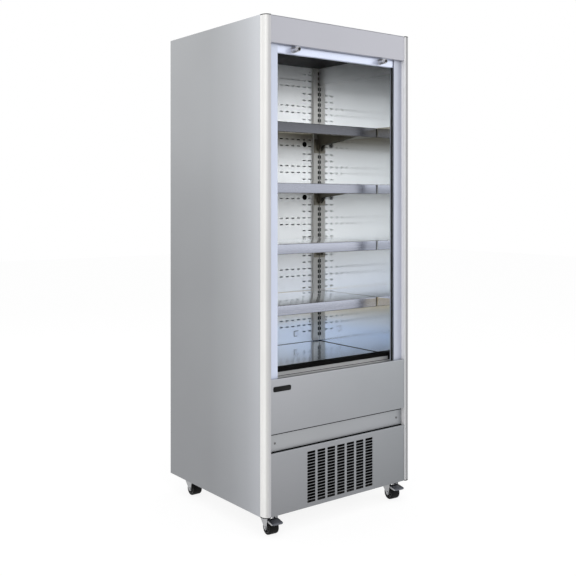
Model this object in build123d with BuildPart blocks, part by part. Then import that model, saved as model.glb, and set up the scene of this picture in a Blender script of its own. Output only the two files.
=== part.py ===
"""Open multideck display fridge with a lockable roller shutter, on four swivel castors.

The frame: X runs to the right, Y from the front to the back, Z up. The origin is on the floor, in the
middle of the outline. Heights in the cabinet are measured from its underside, and depths from the plane
of the front panels, by the functions height() and depth().
"""

import os
from math import cos, pi, radians, sin, sqrt

from build123d import *

# ---------------------------------------------------------------- driving dimensions
WIDTH = 700.0
DEPTH = 640.0  # front panels to rear panel
CABINET_HEIGHT = 1730.0
CASTOR_HEIGHT = 72.0  # floor to the cabinet's underside
LOCK_REACH = 16.0  # the shutter's locks stand this far in front of the front panels

SHEET = 1.2  # outer and inner sheet metal
THIN_SHEET = 0.8
BEND = 2.0  # bend radius along the middle of a sheet
FIT = 0.1  # play between pieces of the casing
SHAFT_FIT = 0.05  # play of a shaft in its bore, on the radius

# ---------------------------------------------------------------- levels above the cabinet's underside
GRILLE_TOP = 222.0
STRIP_TOP = 283.0
FASCIA_TOP = 473.0
FLANGE_LIP = 6.0  # the fascia's rear lip reaches this far down
RISER_TOP = 485.0
DECK_LEVEL = 488.0
FIRST_SHELF = 707.0
SHELF_PITCH = 224.0
SHELF_COUNT = 4
HEADER_BOTTOM = 1634.0
CEILING = 1666.0

# ---------------------------------------------------------------- depths behind the front panels
POST_FRONT = -5.0
POST_BACK = 25.0  # the side panels begin here
GUIDE_FRONT = 16.0
GUIDE_BACK = 38.0
WALL_FRONT = 40.0
RISER = 50.0
SHELF_FRONT = 119.0
UPRIGHT_FRONT = 478.0
BACK_LINER = 488.0
DUCT_BACK = 577.0

# ---------------------------------------------------------------- half widths from the middle
OUTER = WIDTH / 2
POST_INNER = OUTER - 27.0
GUIDE_INNER = 282.0
LINER = 290.0
UPRIGHT_INNER = 257.0
SHELF_HALF = 287.0


def height(above_underside):
    """Z of a level that is measured from the cabinet's underside."""
    return CASTOR_HEIGHT + above_underside


def depth(behind_front):
    """Y of a plane that is measured from the front panels."""
    return (LOCK_REACH - DEPTH) / 2 + behind_front


def facing_front(behind_front):
    """A plane at this depth that looks out of the front, drawn on in X and Z."""
    return Plane.XZ.offset(-depth(behind_front))


TOP = height(CABINET_HEIGHT)


def block(x, y, z, mode=Mode.ADD):
    """A box in the open part, between two X, two depths and two Z."""
    with Locations(((x[0] + x[1]) / 2, depth((y[0] + y[1]) / 2), (z[0] + z[1]) / 2)):
        Box(abs(x[1] - x[0]), abs(y[1] - y[0]), abs(z[1] - z[0]), mode=mode)


def bent_strip(path, thickness=SHEET, bend=0.0):
    """The section of a folded sheet along the middle of its thickness, with sharp or round folds."""
    with BuildSketch(Plane.XY, mode=Mode.PRIVATE) as strip:
        with BuildLine():
            if bend:
                FilletPolyline(*path, radius=bend)
            else:
                Polyline(*path)
        trace(line_width=thickness)
    return strip.sketch_local


def side_section(path, **sheet):
    """A folded strip whose path is given as (depth, Z), for a sketch on the YZ plane."""
    return bent_strip([(depth(y), z) for y, z in path], **sheet)


def plan_section(path, **sheet):
    """A folded strip whose path is given as (X, depth), for a sketch seen from above."""
    return bent_strip([(x, depth(y)) for x, y in path], **sheet)


os.makedirs("parts", exist_ok=True)


def save(piece, name):
    """Labels a finished piece and writes it."""
    piece.part.label = name
    export_step(piece.part, f"parts/{name}.step")


# ================================================================ base and outer casing
FRAME_SHEET = 2.5
FRAME_FLANGE = 15.0
FRAME_END = POST_INNER - 0.6
SIDE_FLANGE = 15.0
SIDE_FRONT_FLANGE = 20.0
PANEL_BACK = DEPTH - SHEET  # inner face of the rear panels
SLAB_BACK = 628.0
CASING_INNER = OUTER - SHEET  # inner face of the side panels
REAR_HALF = OUTER - SIDE_FLANGE - 2 * FIT
SLAB_FRONT = WALL_FRONT + SHEET + BEND  # behind the liner's front flange
BREATHER = (170.0, 95.0)  # windows in the compartment's floor
BREATHER_PITCH = (250.0, 130.0)
BREATHER_DEPTH = 230.0

with BuildPart() as base_frame:
    with BuildSketch(Plane.YZ):
        frame_middle = height(FRAME_SHEET / 2)
        add(
            side_section(
                [
                    (SHEET + FRAME_SHEET / 2, height(FRAME_FLANGE)),
                    (SHEET + FRAME_SHEET / 2, frame_middle),
                    (PANEL_BACK - FRAME_SHEET / 2, frame_middle),
                    (PANEL_BACK - FRAME_SHEET / 2, height(FRAME_FLANGE)),
                ],
                thickness=FRAME_SHEET,
            )
        )
    extrude(amount=FRAME_END, both=True)
    FRAME_WIDE = CASING_INNER - FIT
    block((-FRAME_WIDE, FRAME_WIDE), (SLAB_FRONT, SLAB_BACK), (height(0), height(FRAME_SHEET)))
    # the compartment breathes through four windows in its floor
    with BuildSketch(Plane.XY.offset(height(0))):
        with Locations((0, depth(BREATHER_DEPTH))):
            with GridLocations(*BREATHER_PITCH, 2, 2):
                Rectangle(*BREATHER)
    extrude(amount=FRAME_SHEET, mode=Mode.SUBTRACT)
save(base_frame, "base_frame")

NOTCH_BACK = 114.0  # the shutter's housing ends here
NOTCH_HALF = 316.5
NOTCH_BOTTOM = HEADER_BOTTOM + 2
SLAB_TOP = CABINET_HEIGHT - SHEET - 2 * FIT
FLOOR_SLAB_BOTTOM = GRILLE_TOP + 3
FLOOR_SLAB_FRONT = 28.0
ROOF_SLAB_BOTTOM = 1700.0
ROOF_SLAB_FRONT = NOTCH_BACK + 3
LINER_OUTER = LINER + THIN_SHEET
SLAB_OUTER = CASING_INNER - FIT

with BuildPart() as insulation_slabs:
    with BuildSketch(Plane.XY.offset(height(FRAME_SHEET))):
        for inner, front in ((LINER_OUTER, SLAB_FRONT), (POST_INNER + FIT, POST_BACK + SHEET + FIT)):
            with Locations((inner, depth(front)), (-SLAB_OUTER, depth(front))):
                Rectangle(SLAB_OUTER - inner, SLAB_BACK - front, align=(Align.MIN, Align.MIN))
    extrude(amount=SLAB_TOP - FRAME_SHEET)
    block((-NOTCH_HALF, NOTCH_HALF), (0, NOTCH_BACK), (height(NOTCH_BOTTOM), TOP), mode=Mode.SUBTRACT)
    SLAB_HALF = LINER_OUTER - 2 * FIT
    slab_x = (-SLAB_HALF, SLAB_HALF)
    block(slab_x, (DUCT_BACK + 1, PANEL_BACK - 2 * FIT), (height(FLOOR_SLAB_BOTTOM), height(SLAB_TOP)))
    block(slab_x, (FLOOR_SLAB_FRONT, DUCT_BACK), (height(FLOOR_SLAB_BOTTOM), height(STRIP_TOP)))
    block(slab_x, (ROOF_SLAB_FRONT, DUCT_BACK), (height(ROOF_SLAB_BOTTOM), height(SLAB_TOP)))
save(insulation_slabs, "insulation_slabs")

SKIN = OUTER - SHEET / 2  # middle of the side sheet
with BuildPart() as left_side_panel:
    with BuildSketch(Plane.XY.offset(height(0))):
        add(
            plan_section(
                [
                    (SIDE_FRONT_FLANGE - OUTER, POST_BACK + SHEET / 2),
                    (-SKIN, POST_BACK + SHEET / 2),
                    (-SKIN, DEPTH - SHEET / 2),
                    (SIDE_FLANGE - OUTER, DEPTH - SHEET / 2),
                ]
            )
        )
    extrude(amount=CABINET_HEIGHT - SHEET)
save(left_side_panel, "left_side_panel")

with BuildPart() as right_side_panel:
    add(left_side_panel.part)
    mirror(about=Plane.YZ, mode=Mode.REPLACE)
save(right_side_panel, "right_side_panel")

REAR_SPLIT = GRILLE_TOP + 3
REAR_RETURN = SLAB_BACK + 2


def rear_sheet(piece_bottom, piece_top):
    """A rear panel with its two edges turned in towards the cabinet."""
    with BuildPart() as sheet:
        with BuildSketch(Plane.XY.offset(piece_bottom)):
            edge = REAR_HALF - SHEET / 2
            add(
                plan_section(
                    [
                        (-edge, REAR_RETURN),
                        (-edge, DEPTH - SHEET / 2),
                        (edge, DEPTH - SHEET / 2),
                        (edge, REAR_RETURN),
                    ]
                )
            )
        extrude(amount=piece_top - piece_bottom)
    return sheet


rear_panel = rear_sheet(height(REAR_SPLIT) + 5 * FIT, TOP - SHEET)
save(rear_panel, "rear_panel")

LOUVRE = (210.0, 8.0)
LOUVRE_PITCH = (250.0, 24.0)
LOUVRE_LEVEL = 115.0
with BuildPart() as rear_grille:
    add(rear_sheet(height(FRAME_SHEET) + 5 * FIT, height(REAR_SPLIT)).part)
    with BuildSketch(facing_front(DEPTH)):
        with Locations((0, height(LOUVRE_LEVEL))):
            with GridLocations(*LOUVRE_PITCH, 2, 7):
                Rectangle(*LOUVRE)
    extrude(amount=2 * SHEET, mode=Mode.SUBTRACT)
save(rear_grille, "rear_grille")

CAP = 3.0  # end caps of the corner posts
PANEL_HALF = POST_INNER - FIT
with BuildPart() as roof_panel:
    block((-OUTER, OUTER), (0, DEPTH), (TOP - SHEET, TOP))
    for side in (-1, 1):
        block((side * PANEL_HALF, side * OUTER), (0, POST_BACK), (TOP - SHEET, TOP), mode=Mode.SUBTRACT)
save(roof_panel, "roof_panel")


# ================================================================ corner posts
POST_OUTER_RADIUS = 21.0
POST_INNER_RADIUS = 5.0
POST_WALL = 2.0


def post_outline():
    """The right-hand post seen from above: a wide round towards the outside, a small one inside."""
    with BuildSketch(Plane.XY, mode=Mode.PRIVATE) as outline:
        with Locations((POST_INNER, depth(POST_FRONT))):
            Rectangle(OUTER - POST_INNER, POST_BACK - POST_FRONT, align=(Align.MIN, Align.MIN))
        front = outline.vertices().group_by(Axis.Y)[0]
        fillet(front.sort_by(Axis.X)[-1], POST_OUTER_RADIUS)
        inner_front = outline.vertices().group_by(Axis.X)[0].sort_by(Axis.Y)[0]
        fillet(inner_front, POST_INNER_RADIUS)
    return outline.sketch_local


with BuildPart() as right_corner_post:
    with BuildSketch(Plane.XY.offset(height(CAP))):
        add(post_outline())
        offset(post_outline(), amount=-POST_WALL, mode=Mode.SUBTRACT)
    extrude(amount=CABINET_HEIGHT - 2 * CAP)
save(right_corner_post, "right_corner_post")

with BuildPart() as left_corner_post:
    add(right_corner_post.part)
    mirror(about=Plane.YZ, mode=Mode.REPLACE)
save(left_corner_post, "left_corner_post")

with BuildPart() as post_end_caps:
    with BuildSketch(Plane.XY.offset(height(0)), Plane.XY.offset(TOP - CAP)):
        add(post_outline())
    extrude(amount=CAP)
    mirror(about=Plane.YZ)
save(post_end_caps, "post_end_caps")


# ================================================================ header, shutter housing and guides
HEADER_LIP = 15.0
HEADER_TOP_FLANGE = 25.0

with BuildPart() as header_panel:
    with BuildSketch(Plane.YZ):
        add(
            side_section(
                [
                    (HEADER_LIP, height(HEADER_BOTTOM + SHEET / 2)),
                    (SHEET / 2, height(HEADER_BOTTOM + SHEET / 2)),
                    (SHEET / 2, TOP - 1.5 * SHEET),
                    (HEADER_TOP_FLANGE, TOP - 1.5 * SHEET),
                ],
                bend=BEND,
            )
        )
    extrude(amount=PANEL_HALF, both=True)
save(header_panel, "header_panel")

RAIL_THICKNESS = 14.0
RAIL_FRONT = 20.0
RAIL_BACK = RAIL_FRONT + RAIL_THICKNESS
RAIL_HEIGHT = 40.0
RAIL_BOTTOM = 1606.0  # with the shutter open
RAIL_CLOSED = FASCIA_TOP - 3  # with the shutter closed
SHUTTER_TRAVEL = RAIL_BOTTOM - RAIL_CLOSED
CURTAIN_MIDDLE = 27.5
SLAT = 3.4
SLAT_LAYER = 3.8  # growth of the roll for each turn
SLAT_PITCH = 17.6
ROLL_LEVEL = 1682.0
ROLL_RADIUS = 40.4  # along the middle of the outermost layer
ROLL_DEPTH = CURTAIN_MIDDLE + ROLL_RADIUS
BARREL_RADIUS = 14.0
JOURNAL_RADIUS = 5.0
SLAT_HALF = 306.0

HOUSING_FLOOR = NOTCH_BOTTOM
HOUSING_RETURN = 9.0
with BuildPart() as shutter_housing:
    with BuildSketch(Plane.YZ):
        add(
            side_section(
                [
                    (WALL_FRONT + 1, height(HOUSING_FLOOR + HOUSING_RETURN)),
                    (WALL_FRONT + 1, height(HOUSING_FLOOR + SHEET / 2)),
                    (NOTCH_BACK - 1, height(HOUSING_FLOOR + SHEET / 2)),
                    (NOTCH_BACK - 1, TOP - SHEET - 2 * FIT),
                ]
            )
        )
    extrude(amount=NOTCH_HALF - 5 * FIT, both=True)
save(shutter_housing, "shutter_housing")

BRACKET = (44.0, 76.0)
BRACKET_INNER = SLAT_HALF + 3
BRACKET_CUT = 12.0
with BuildPart() as shutter_brackets:
    with BuildSketch(Plane.YZ.offset(BRACKET_INNER)):
        with Locations((depth(ROLL_DEPTH), height(ROLL_LEVEL - BRACKET_CUT / 2))):
            Rectangle(*BRACKET)
        chamfer(vertices().group_by(Axis.Y)[-1], BRACKET_CUT)
    extrude(amount=NOTCH_HALF - 2 * FIT - BRACKET_INNER)
    with Locations(Plane.YZ.offset(NOTCH_HALF)):
        with Locations((depth(ROLL_DEPTH), height(ROLL_LEVEL))):
            Hole(JOURNAL_RADIUS + SHAFT_FIT, depth=NOTCH_HALF - SLAT_HALF)
    mirror(about=Plane.YZ)
save(shutter_brackets, "shutter_brackets")

SLOT = (22.0, 33.0)  # depths of the guides' slot
SLOT_FLOOR = 310.0
GUIDE_BOTTOM = FASCIA_TOP - FLANGE_LIP + SHEET / 2
GUIDE_TOP = HEADER_BOTTOM + 14
GUIDE_HOLLOW = 2.6
GUIDE_SKIN = 2.0
with BuildPart() as guide_rails:
    with BuildSketch(Plane.XY.offset(height(GUIDE_BOTTOM))):
        with Locations((GUIDE_INNER, depth(GUIDE_FRONT))):
            Rectangle(PANEL_HALF - GUIDE_INNER, GUIDE_BACK - GUIDE_FRONT, align=(Align.MIN, Align.MIN))
        with Locations((GUIDE_INNER, depth(SLOT[0]))):
            slot_size = (SLOT_FLOOR - GUIDE_INNER, SLOT[1] - SLOT[0])
            Rectangle(*slot_size, align=(Align.MIN, Align.MIN), mode=Mode.SUBTRACT)
        # the front wall is hollow, which leaves two thin skins
        with Locations(((GUIDE_INNER + PANEL_HALF) / 2, depth((GUIDE_FRONT + SLOT[0]) / 2))):
            Rectangle(PANEL_HALF - GUIDE_INNER - 2 * GUIDE_SKIN, GUIDE_HOLLOW, mode=Mode.SUBTRACT)
    extrude(amount=GUIDE_TOP - GUIDE_BOTTOM)
    mirror(about=Plane.YZ)
save(guide_rails, "guide_rails")

SEAL = (7.0, 1.6)
SEAL_INNER = GUIDE_INNER + 3 * FIT
with BuildPart() as guide_seals:
    with BuildSketch(Plane.XY.offset(height(GUIDE_BOTTOM))):
        with Locations((SEAL_INNER, depth(SLOT[0])), (SEAL_INNER, depth(SLOT[1] - SEAL[1]))):
            Rectangle(*SEAL, align=(Align.MIN, Align.MIN))
    extrude(amount=GUIDE_TOP - GUIDE_BOTTOM)
    mirror(about=Plane.YZ)
save(guide_seals, "guide_seals")


# ================================================================ inside of the cold well
with BuildPart() as inner_liner:
    with BuildSketch(Plane.XY.offset(height(STRIP_TOP))):
        wall = LINER + THIN_SHEET / 2
        flange = WALL_FRONT - THIN_SHEET
        add(
            plan_section(
                [
                    (FRAME_END, flange),
                    (wall, flange),
                    (wall, DUCT_BACK + THIN_SHEET / 2),
                    (-wall, DUCT_BACK + THIN_SHEET / 2),
                    (-wall, flange),
                    (-FRAME_END, flange),
                ],
                thickness=THIN_SHEET,
            )
        )
    extrude(amount=ROOF_SLAB_BOTTOM - STRIP_TOP - 2 * FIT)
    liner_top = height(HOUSING_FLOOR) - 2 * FIT
    block((-OUTER, OUTER), (0, NOTCH_BACK + 2), (liner_top, TOP), mode=Mode.SUBTRACT)
    # the walls stand clear of the floor tray below the deck
    flange_depths = (WALL_FRONT - 2, WALL_FRONT + 2)
    block((-OUTER, OUTER), flange_depths, (height(0), height(STRIP_TOP + 4)), mode=Mode.SUBTRACT)
save(inner_liner, "inner_liner")

LINED = LINER - 0.6
CANOPY_RETURN = 20.0
CURTAIN_OF_AIR = (118.0, 168.0)  # depths of the grille that cold air falls from
with BuildPart() as canopy_panel:
    with BuildSketch(Plane.YZ):
        add(
            side_section(
                [
                    (CURTAIN_OF_AIR[1] + 2, height(CEILING + CANOPY_RETURN)),
                    (CURTAIN_OF_AIR[1] + 2, height(CEILING + SHEET / 2)),
                    (BACK_LINER + 14, height(CEILING + SHEET / 2)),
                ]
            )
        )
    extrude(amount=LINED, both=True)
save(canopy_panel, "canopy_panel")

OUTLET = 12.0  # thickness of the outlet grille
OUTLET_BOTTOM = height(CEILING - 2 - OUTLET)
OUTLET_CELL = (90.0, 42.0)
OUTLET_PITCH = 96.0
with BuildPart() as air_curtain_grille:
    block((-LINED, LINED), CURTAIN_OF_AIR, (OUTLET_BOTTOM, OUTLET_BOTTOM + OUTLET))
    with BuildSketch(Plane.XY.offset(OUTLET_BOTTOM)):
        with Locations((0, depth(sum(CURTAIN_OF_AIR) / 2))):
            with GridLocations(OUTLET_PITCH, 0, 6, 1):
                Rectangle(*OUTLET_CELL)
    extrude(amount=OUTLET, mode=Mode.SUBTRACT)
save(air_curtain_grille, "air_curtain_grille")

HOLE_PITCH_X = 54.0
HOLE_RISE = 98.0  # of the slots above each shelf
HOLE = (38.0, 3.5)
BACK_SHEET = 1.0
BACK_RETURN = 12.0
BACK_TOP = CEILING - 2
BACK_BOTTOM = 470.0
PLUG_PLACES = ((216.0, 1333.0), (216.0, 1107.0))  # X and level of the two blind plugs
PLUG_RADIUS = 11.5
PLUG_HEAD = 2.5
with BuildPart() as perforated_back_panel:
    with BuildSketch(Plane.XY.offset(height(BACK_BOTTOM))):
        edge = LINED - BACK_SHEET
        middle = BACK_LINER + BACK_SHEET / 2
        add(
            plan_section(
                [
                    (-edge, middle + BACK_RETURN),
                    (-edge, middle),
                    (edge, middle),
                    (edge, middle + BACK_RETURN),
                ],
                thickness=BACK_SHEET,
            )
        )
    extrude(amount=BACK_TOP - BACK_BOTTOM)
    with BuildSketch(facing_front(BACK_LINER)):
        for compartment in range(SHELF_COUNT + 1):
            floor_level = height(FIRST_SHELF + (compartment - 1) * SHELF_PITCH)
            with Locations((0, floor_level + HOLE_RISE)):
                with GridLocations(HOLE_PITCH_X, 0, 9, 1):
                    Rectangle(*HOLE)
    extrude(amount=-2 * BACK_SHEET, mode=Mode.SUBTRACT)
save(perforated_back_panel, "perforated_back_panel")

with BuildPart() as back_plugs:
    with BuildSketch(facing_front(BACK_LINER)):
        with Locations(*[(x, height(z)) for x, z in PLUG_PLACES]):
            Circle(PLUG_RADIUS)
    extrude(amount=PLUG_HEAD)
save(back_plugs, "back_plugs")

HOOK_SLOT = (7.0, 13.0)
HOOK_PITCH = SHELF_PITCH / 5
HOOK_DROP = 10.0  # from a shelf's top to its upper hook
HOOK_X = 282.5
HOOK_COUNT = 24
LOWEST_HOOK = FIRST_SHELF - HOOK_DROP - 2 * HOOK_PITCH
UPRIGHT_BOTTOM = DECK_LEVEL + 4
with BuildPart() as shelf_uprights:
    with BuildSketch(Plane.XY.offset(height(UPRIGHT_BOTTOM))):
        front = UPRIGHT_FRONT + SHEET / 2
        add(
            plan_section(
                [
                    (UPRIGHT_INNER + SHEET / 2, BACK_LINER - FIT),
                    (UPRIGHT_INNER + SHEET / 2, front),
                    (LINED - SHEET / 2, front),
                    (LINED - SHEET / 2, BACK_LINER - FIT),
                ]
            )
        )
    extrude(amount=CEILING - 4 - UPRIGHT_BOTTOM)
    with BuildSketch(facing_front(UPRIGHT_FRONT - 1)):
        with Locations((HOOK_X, height(LOWEST_HOOK + (HOOK_COUNT - 1) / 2 * HOOK_PITCH))):
            with GridLocations(0, HOOK_PITCH, 1, HOOK_COUNT):
                Rectangle(*HOOK_SLOT)
    extrude(amount=-4, mode=Mode.SUBTRACT)
    mirror(about=Plane.YZ)
save(shelf_uprights, "shelf_uprights")

# ---------------------------------------------------------------- shelves on cantilever brackets
SHELF_LIP = 35.0
SHELF_RETURN = 12.0
SHELF_BACK = UPRIGHT_FRONT - 2
SHELF_EDGE = 1.6
ARM = 2.5
ARM_X = 282.0  # outer face of an arm
ARM_FRONT = SHELF_FRONT + 14
ARM_BACK = UPRIGHT_FRONT - 0.2
ARM_TIP = 26.0  # height of an arm at its front
ARM_ROOT = 78.0  # and at the upright
HOOK = (6.0, 4.0)  # reach into the slot, and half its height
for shelf_number in range(1, SHELF_COUNT + 1):
    shelf_top = height(FIRST_SHELF + (SHELF_COUNT - shelf_number) * SHELF_PITCH)
    with BuildPart() as shelf:
        block((-SHELF_HALF, SHELF_HALF), (SHELF_FRONT, SHELF_BACK), (shelf_top - SHELF_LIP, shelf_top))
        front_top = shelf.edges().filter_by(Axis.X).group_by(Axis.Y)[0].sort_by(Axis.Z)[-1]
        chamfer(front_top, SHELF_EDGE)
        underside = shelf.faces().sort_by(Axis.Z)[0]
        back = shelf.faces().sort_by(Axis.Y)[-1]
        offset(amount=-SHEET, openings=[underside, back])
        # the front lip is turned back under the shelf
        block(
            (SHEET - SHELF_HALF, SHELF_HALF - SHEET),
            (SHELF_FRONT + SHEET, SHELF_FRONT + SHELF_RETURN),
            (shelf_top - SHELF_LIP, shelf_top - SHELF_LIP + SHEET),
        )
    save(shelf, f"shelf_{shelf_number}")

with BuildPart() as shelf_brackets:
    for shelf_number in range(SHELF_COUNT):
        shelf_top = height(FIRST_SHELF + shelf_number * SHELF_PITCH)
        under = shelf_top - SHEET - FIT
        with BuildSketch(Plane.YZ.offset(ARM_X - ARM)):
            with BuildLine():
                Polyline(
                    (depth(ARM_FRONT), under),
                    (depth(ARM_BACK), under),
                    (depth(ARM_BACK), under - ARM_ROOT),
                    (depth(ARM_BACK - 22), under - ARM_ROOT),
                    (depth(ARM_FRONT + 46), under - ARM_TIP - 4),
                    (depth(ARM_FRONT), under - ARM_TIP),
                    close=True,
                )
            make_face()
        extrude(amount=ARM)
        # two hooks reach into the upright's slots
        for hook_level in (shelf_top - HOOK_DROP, shelf_top - HOOK_DROP - HOOK_PITCH):
            block(
                (ARM_X - ARM, ARM_X),
                (ARM_BACK, UPRIGHT_FRONT + HOOK[0]),
                (hook_level - HOOK[1], hook_level + HOOK[1]),
            )
    mirror(about=Plane.YZ)
save(shelf_brackets, "shelf_brackets")

DECK_FRONT = 90.0
DECK_SKIRT = 18.0
with BuildPart() as deck_tray:
    block(
        (-SHELF_HALF - 1, SHELF_HALF + 1),
        (DECK_FRONT, BACK_LINER - 0.5),
        (height(DECK_LEVEL - DECK_SKIRT), height(DECK_LEVEL)),
    )
    offset(amount=-SHEET, openings=deck_tray.faces().sort_by(Axis.Z)[0])
save(deck_tray, "deck_tray")


# ================================================================ lower front
FASCIA_FLANGE = 15.6
with BuildPart() as fascia_panel:
    with BuildSketch(Plane.YZ):
        add(
            side_section(
                [
                    (FASCIA_FLANGE - 4, height(STRIP_TOP + SHEET / 2)),
                    (SHEET / 2, height(STRIP_TOP + SHEET / 2)),
                    (SHEET / 2, height(FASCIA_TOP - SHEET / 2)),
                    (FASCIA_FLANGE - SHEET / 2, height(FASCIA_TOP - SHEET / 2)),
                    (FASCIA_FLANGE - SHEET / 2, height(FASCIA_TOP - FLANGE_LIP - 2)),
                ],
                bend=BEND,
            )
        )
    extrude(amount=PANEL_HALF, both=True)
save(fascia_panel, "fascia_panel")

TROUGH = FASCIA_TOP - FLANGE_LIP  # the shutter closes down into this trough
TROUGH_FLANGE = 12.0
LOCK_X = 210.0
CAM_LENGTH = 25.0
CAM_FRONT = 28.0
CAM = 2.5
CAM_SLOT = 8.0  # width of the slot in the trough, and its offset from the lock
with BuildPart() as sill_trough:
    floor_middle = height(TROUGH)
    with BuildSketch(Plane.YZ):
        add(
            side_section(
                [
                    (GUIDE_FRONT, floor_middle),
                    (RISER + SHEET / 2, floor_middle),
                    (RISER + SHEET / 2, height(RISER_TOP - SHEET / 2)),
                    (RISER + TROUGH_FLANGE, height(RISER_TOP - SHEET / 2)),
                ]
            )
        )
    extrude(amount=LINED, both=True)
    for side in (-1, 1):
        block(
            (side * (LINED - 1), side * PANEL_HALF),
            (GUIDE_FRONT, GUIDE_BACK + 0.6),
            (floor_middle - SHEET / 2, floor_middle + SHEET / 2),
        )
    # a slot under each lock, which its cam turns down into
    with BuildSketch(Plane.XY.offset(floor_middle + SHEET)):
        for side in (-1, 1):
            with Locations((side * LOCK_X + CAM_SLOT, depth(CAM_FRONT + CAM / 2))):
                Rectangle(CAM_LENGTH + TROUGH_FLANGE, CAM_SLOT)
    extrude(amount=-2 * SHEET, mode=Mode.SUBTRACT)
save(sill_trough, "sill_trough")

TRIM = 3.0
TRIM_TOP = 497.0
TRIM_BACK = DECK_FRONT - 1
TRIM_LEG = 8.0
RETURN_SLOT = (64.0, 22.0)
RETURN_PITCH = 71.0
with BuildPart() as air_return_trim:
    under_top = height(TRIM_TOP - TRIM)
    block((-LINED, LINED), (RISER - TRIM, RISER), (height(RISER_TOP), height(TRIM_TOP)))
    block((-LINED, LINED), (RISER, TRIM_BACK), (under_top, height(TRIM_TOP)))
    block((-LINED, LINED), (TRIM_BACK - TRIM, TRIM_BACK), (height(DECK_LEVEL - 2 * TRIM), under_top))
    nose = air_return_trim.edges().filter_by(Axis.X).group_by(Axis.Y)[0].sort_by(Axis.Z)[-1]
    chamfer(nose, 1)
    # a leg at each end runs down into the trough
    for side in (-1, 1):
        block(
            (side * (LINED - TRIM_LEG), side * LINED),
            (RISER - TRIM, RISER),
            (height(TROUGH + SHEET / 2 + BEND), height(RISER_TOP)),
        )
    with BuildSketch(Plane.XY.offset(height(TRIM_TOP))):
        with Locations((0, depth((RISER + DECK_FRONT) / 2 - 1))):
            with GridLocations(RETURN_PITCH, 0, 8, 1):
                Rectangle(*RETURN_SLOT)
    extrude(amount=-TRIM, mode=Mode.SUBTRACT)
save(air_return_trim, "air_return_trim")

BADGE = (76.0, 18.0)
BADGE_PLACE = (76.0 - OUTER, 438.0)
BADGE_THICKNESS = 1.6
with BuildPart() as badge_plate:
    with BuildSketch(facing_front(0)):
        with Locations((BADGE_PLACE[0], height(BADGE_PLACE[1]))):
            badge = Rectangle(*BADGE)
        chamfer(badge.vertices(), 4)
    extrude(amount=BADGE_THICKNESS)
save(badge_plate, "badge_plate")

SCREW_X = 294.0
SCREW_HEAD = (4.0, 2.2)  # radius and height
STRIP_FRONT = 16.0
STRIP_FLANGE = 8.0
STRIP_OVERLAP = 12.0  # it hangs down this far behind the grille
SCREW_LEVEL = 247.0
with BuildPart() as service_strip:
    with BuildSketch(Plane.YZ):
        strip_plane = STRIP_FRONT + SHEET / 2
        low = height(GRILLE_TOP - STRIP_OVERLAP)
        high = height(STRIP_TOP - SHEET)
        add(
            side_section(
                [
                    (strip_plane + STRIP_FLANGE, low),
                    (strip_plane, low),
                    (strip_plane, high),
                    (strip_plane + STRIP_FLANGE, high),
                ],
                bend=BEND,
            )
        )
    extrude(amount=PANEL_HALF, both=True)
save(service_strip, "service_strip")

with BuildPart() as strip_screws:
    with BuildSketch(facing_front(STRIP_FRONT)):
        with Locations((-SCREW_X, height(SCREW_LEVEL)), (SCREW_X, height(SCREW_LEVEL))):
            RegularPolygon(SCREW_HEAD[0], 12)
    extrude(amount=SCREW_HEAD[1])
save(strip_screws, "strip_screws")

GRILLE_FLANGE = 5.0
VENT = (36.0, 7.4)
VENT_PITCH = (46.5, 10.8)
VENT_COUNT = (7, 17)
VENT_MIDDLE = (-4.0, 107.0)
with BuildPart() as grille_panel:
    with BuildSketch(Plane.YZ):
        add(
            side_section(
                [
                    (SHEET / 2, height(0.5)),
                    (SHEET / 2, height(GRILLE_TOP - SHEET / 2)),
                    (GRILLE_FLANGE, height(GRILLE_TOP - SHEET / 2)),
                ],
                bend=BEND,
            )
        )
    extrude(amount=PANEL_HALF, both=True)
    with BuildSketch(facing_front(0)):
        with Locations((VENT_MIDDLE[0], height(VENT_MIDDLE[1]))):
            with GridLocations(*VENT_PITCH, *VENT_COUNT):
                Rectangle(*VENT)
    extrude(amount=-2 * SHEET, mode=Mode.SUBTRACT)
save(grille_panel, "grille_panel")


# ================================================================ roller shutter
CURTAIN_BOTTOM = RAIL_BOTTOM + RAIL_HEIGHT + 0.3
TONGUE = 6.6
RAIL_HALF = 279.0
LOCK_LEVEL = RAIL_BOTTOM + 15
LOCK_RADIUS = 10.0
LOCK_TIP_RADIUS = 7.5
LOCK_SHOULDER = 7.0  # the wide part of a lock ends this far in front of the panels
LOCK_BACK = CAM_FRONT - 0.5
PLUG = 6.0
PLUG_SUNK = 0.6
RAIL_WALL = 1.5
RAIL_EDGE = 1.5
SHOE = 6.0
lock_centres = [(side * LOCK_X, height(LOCK_LEVEL)) for side in (-1, 1)]

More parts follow.
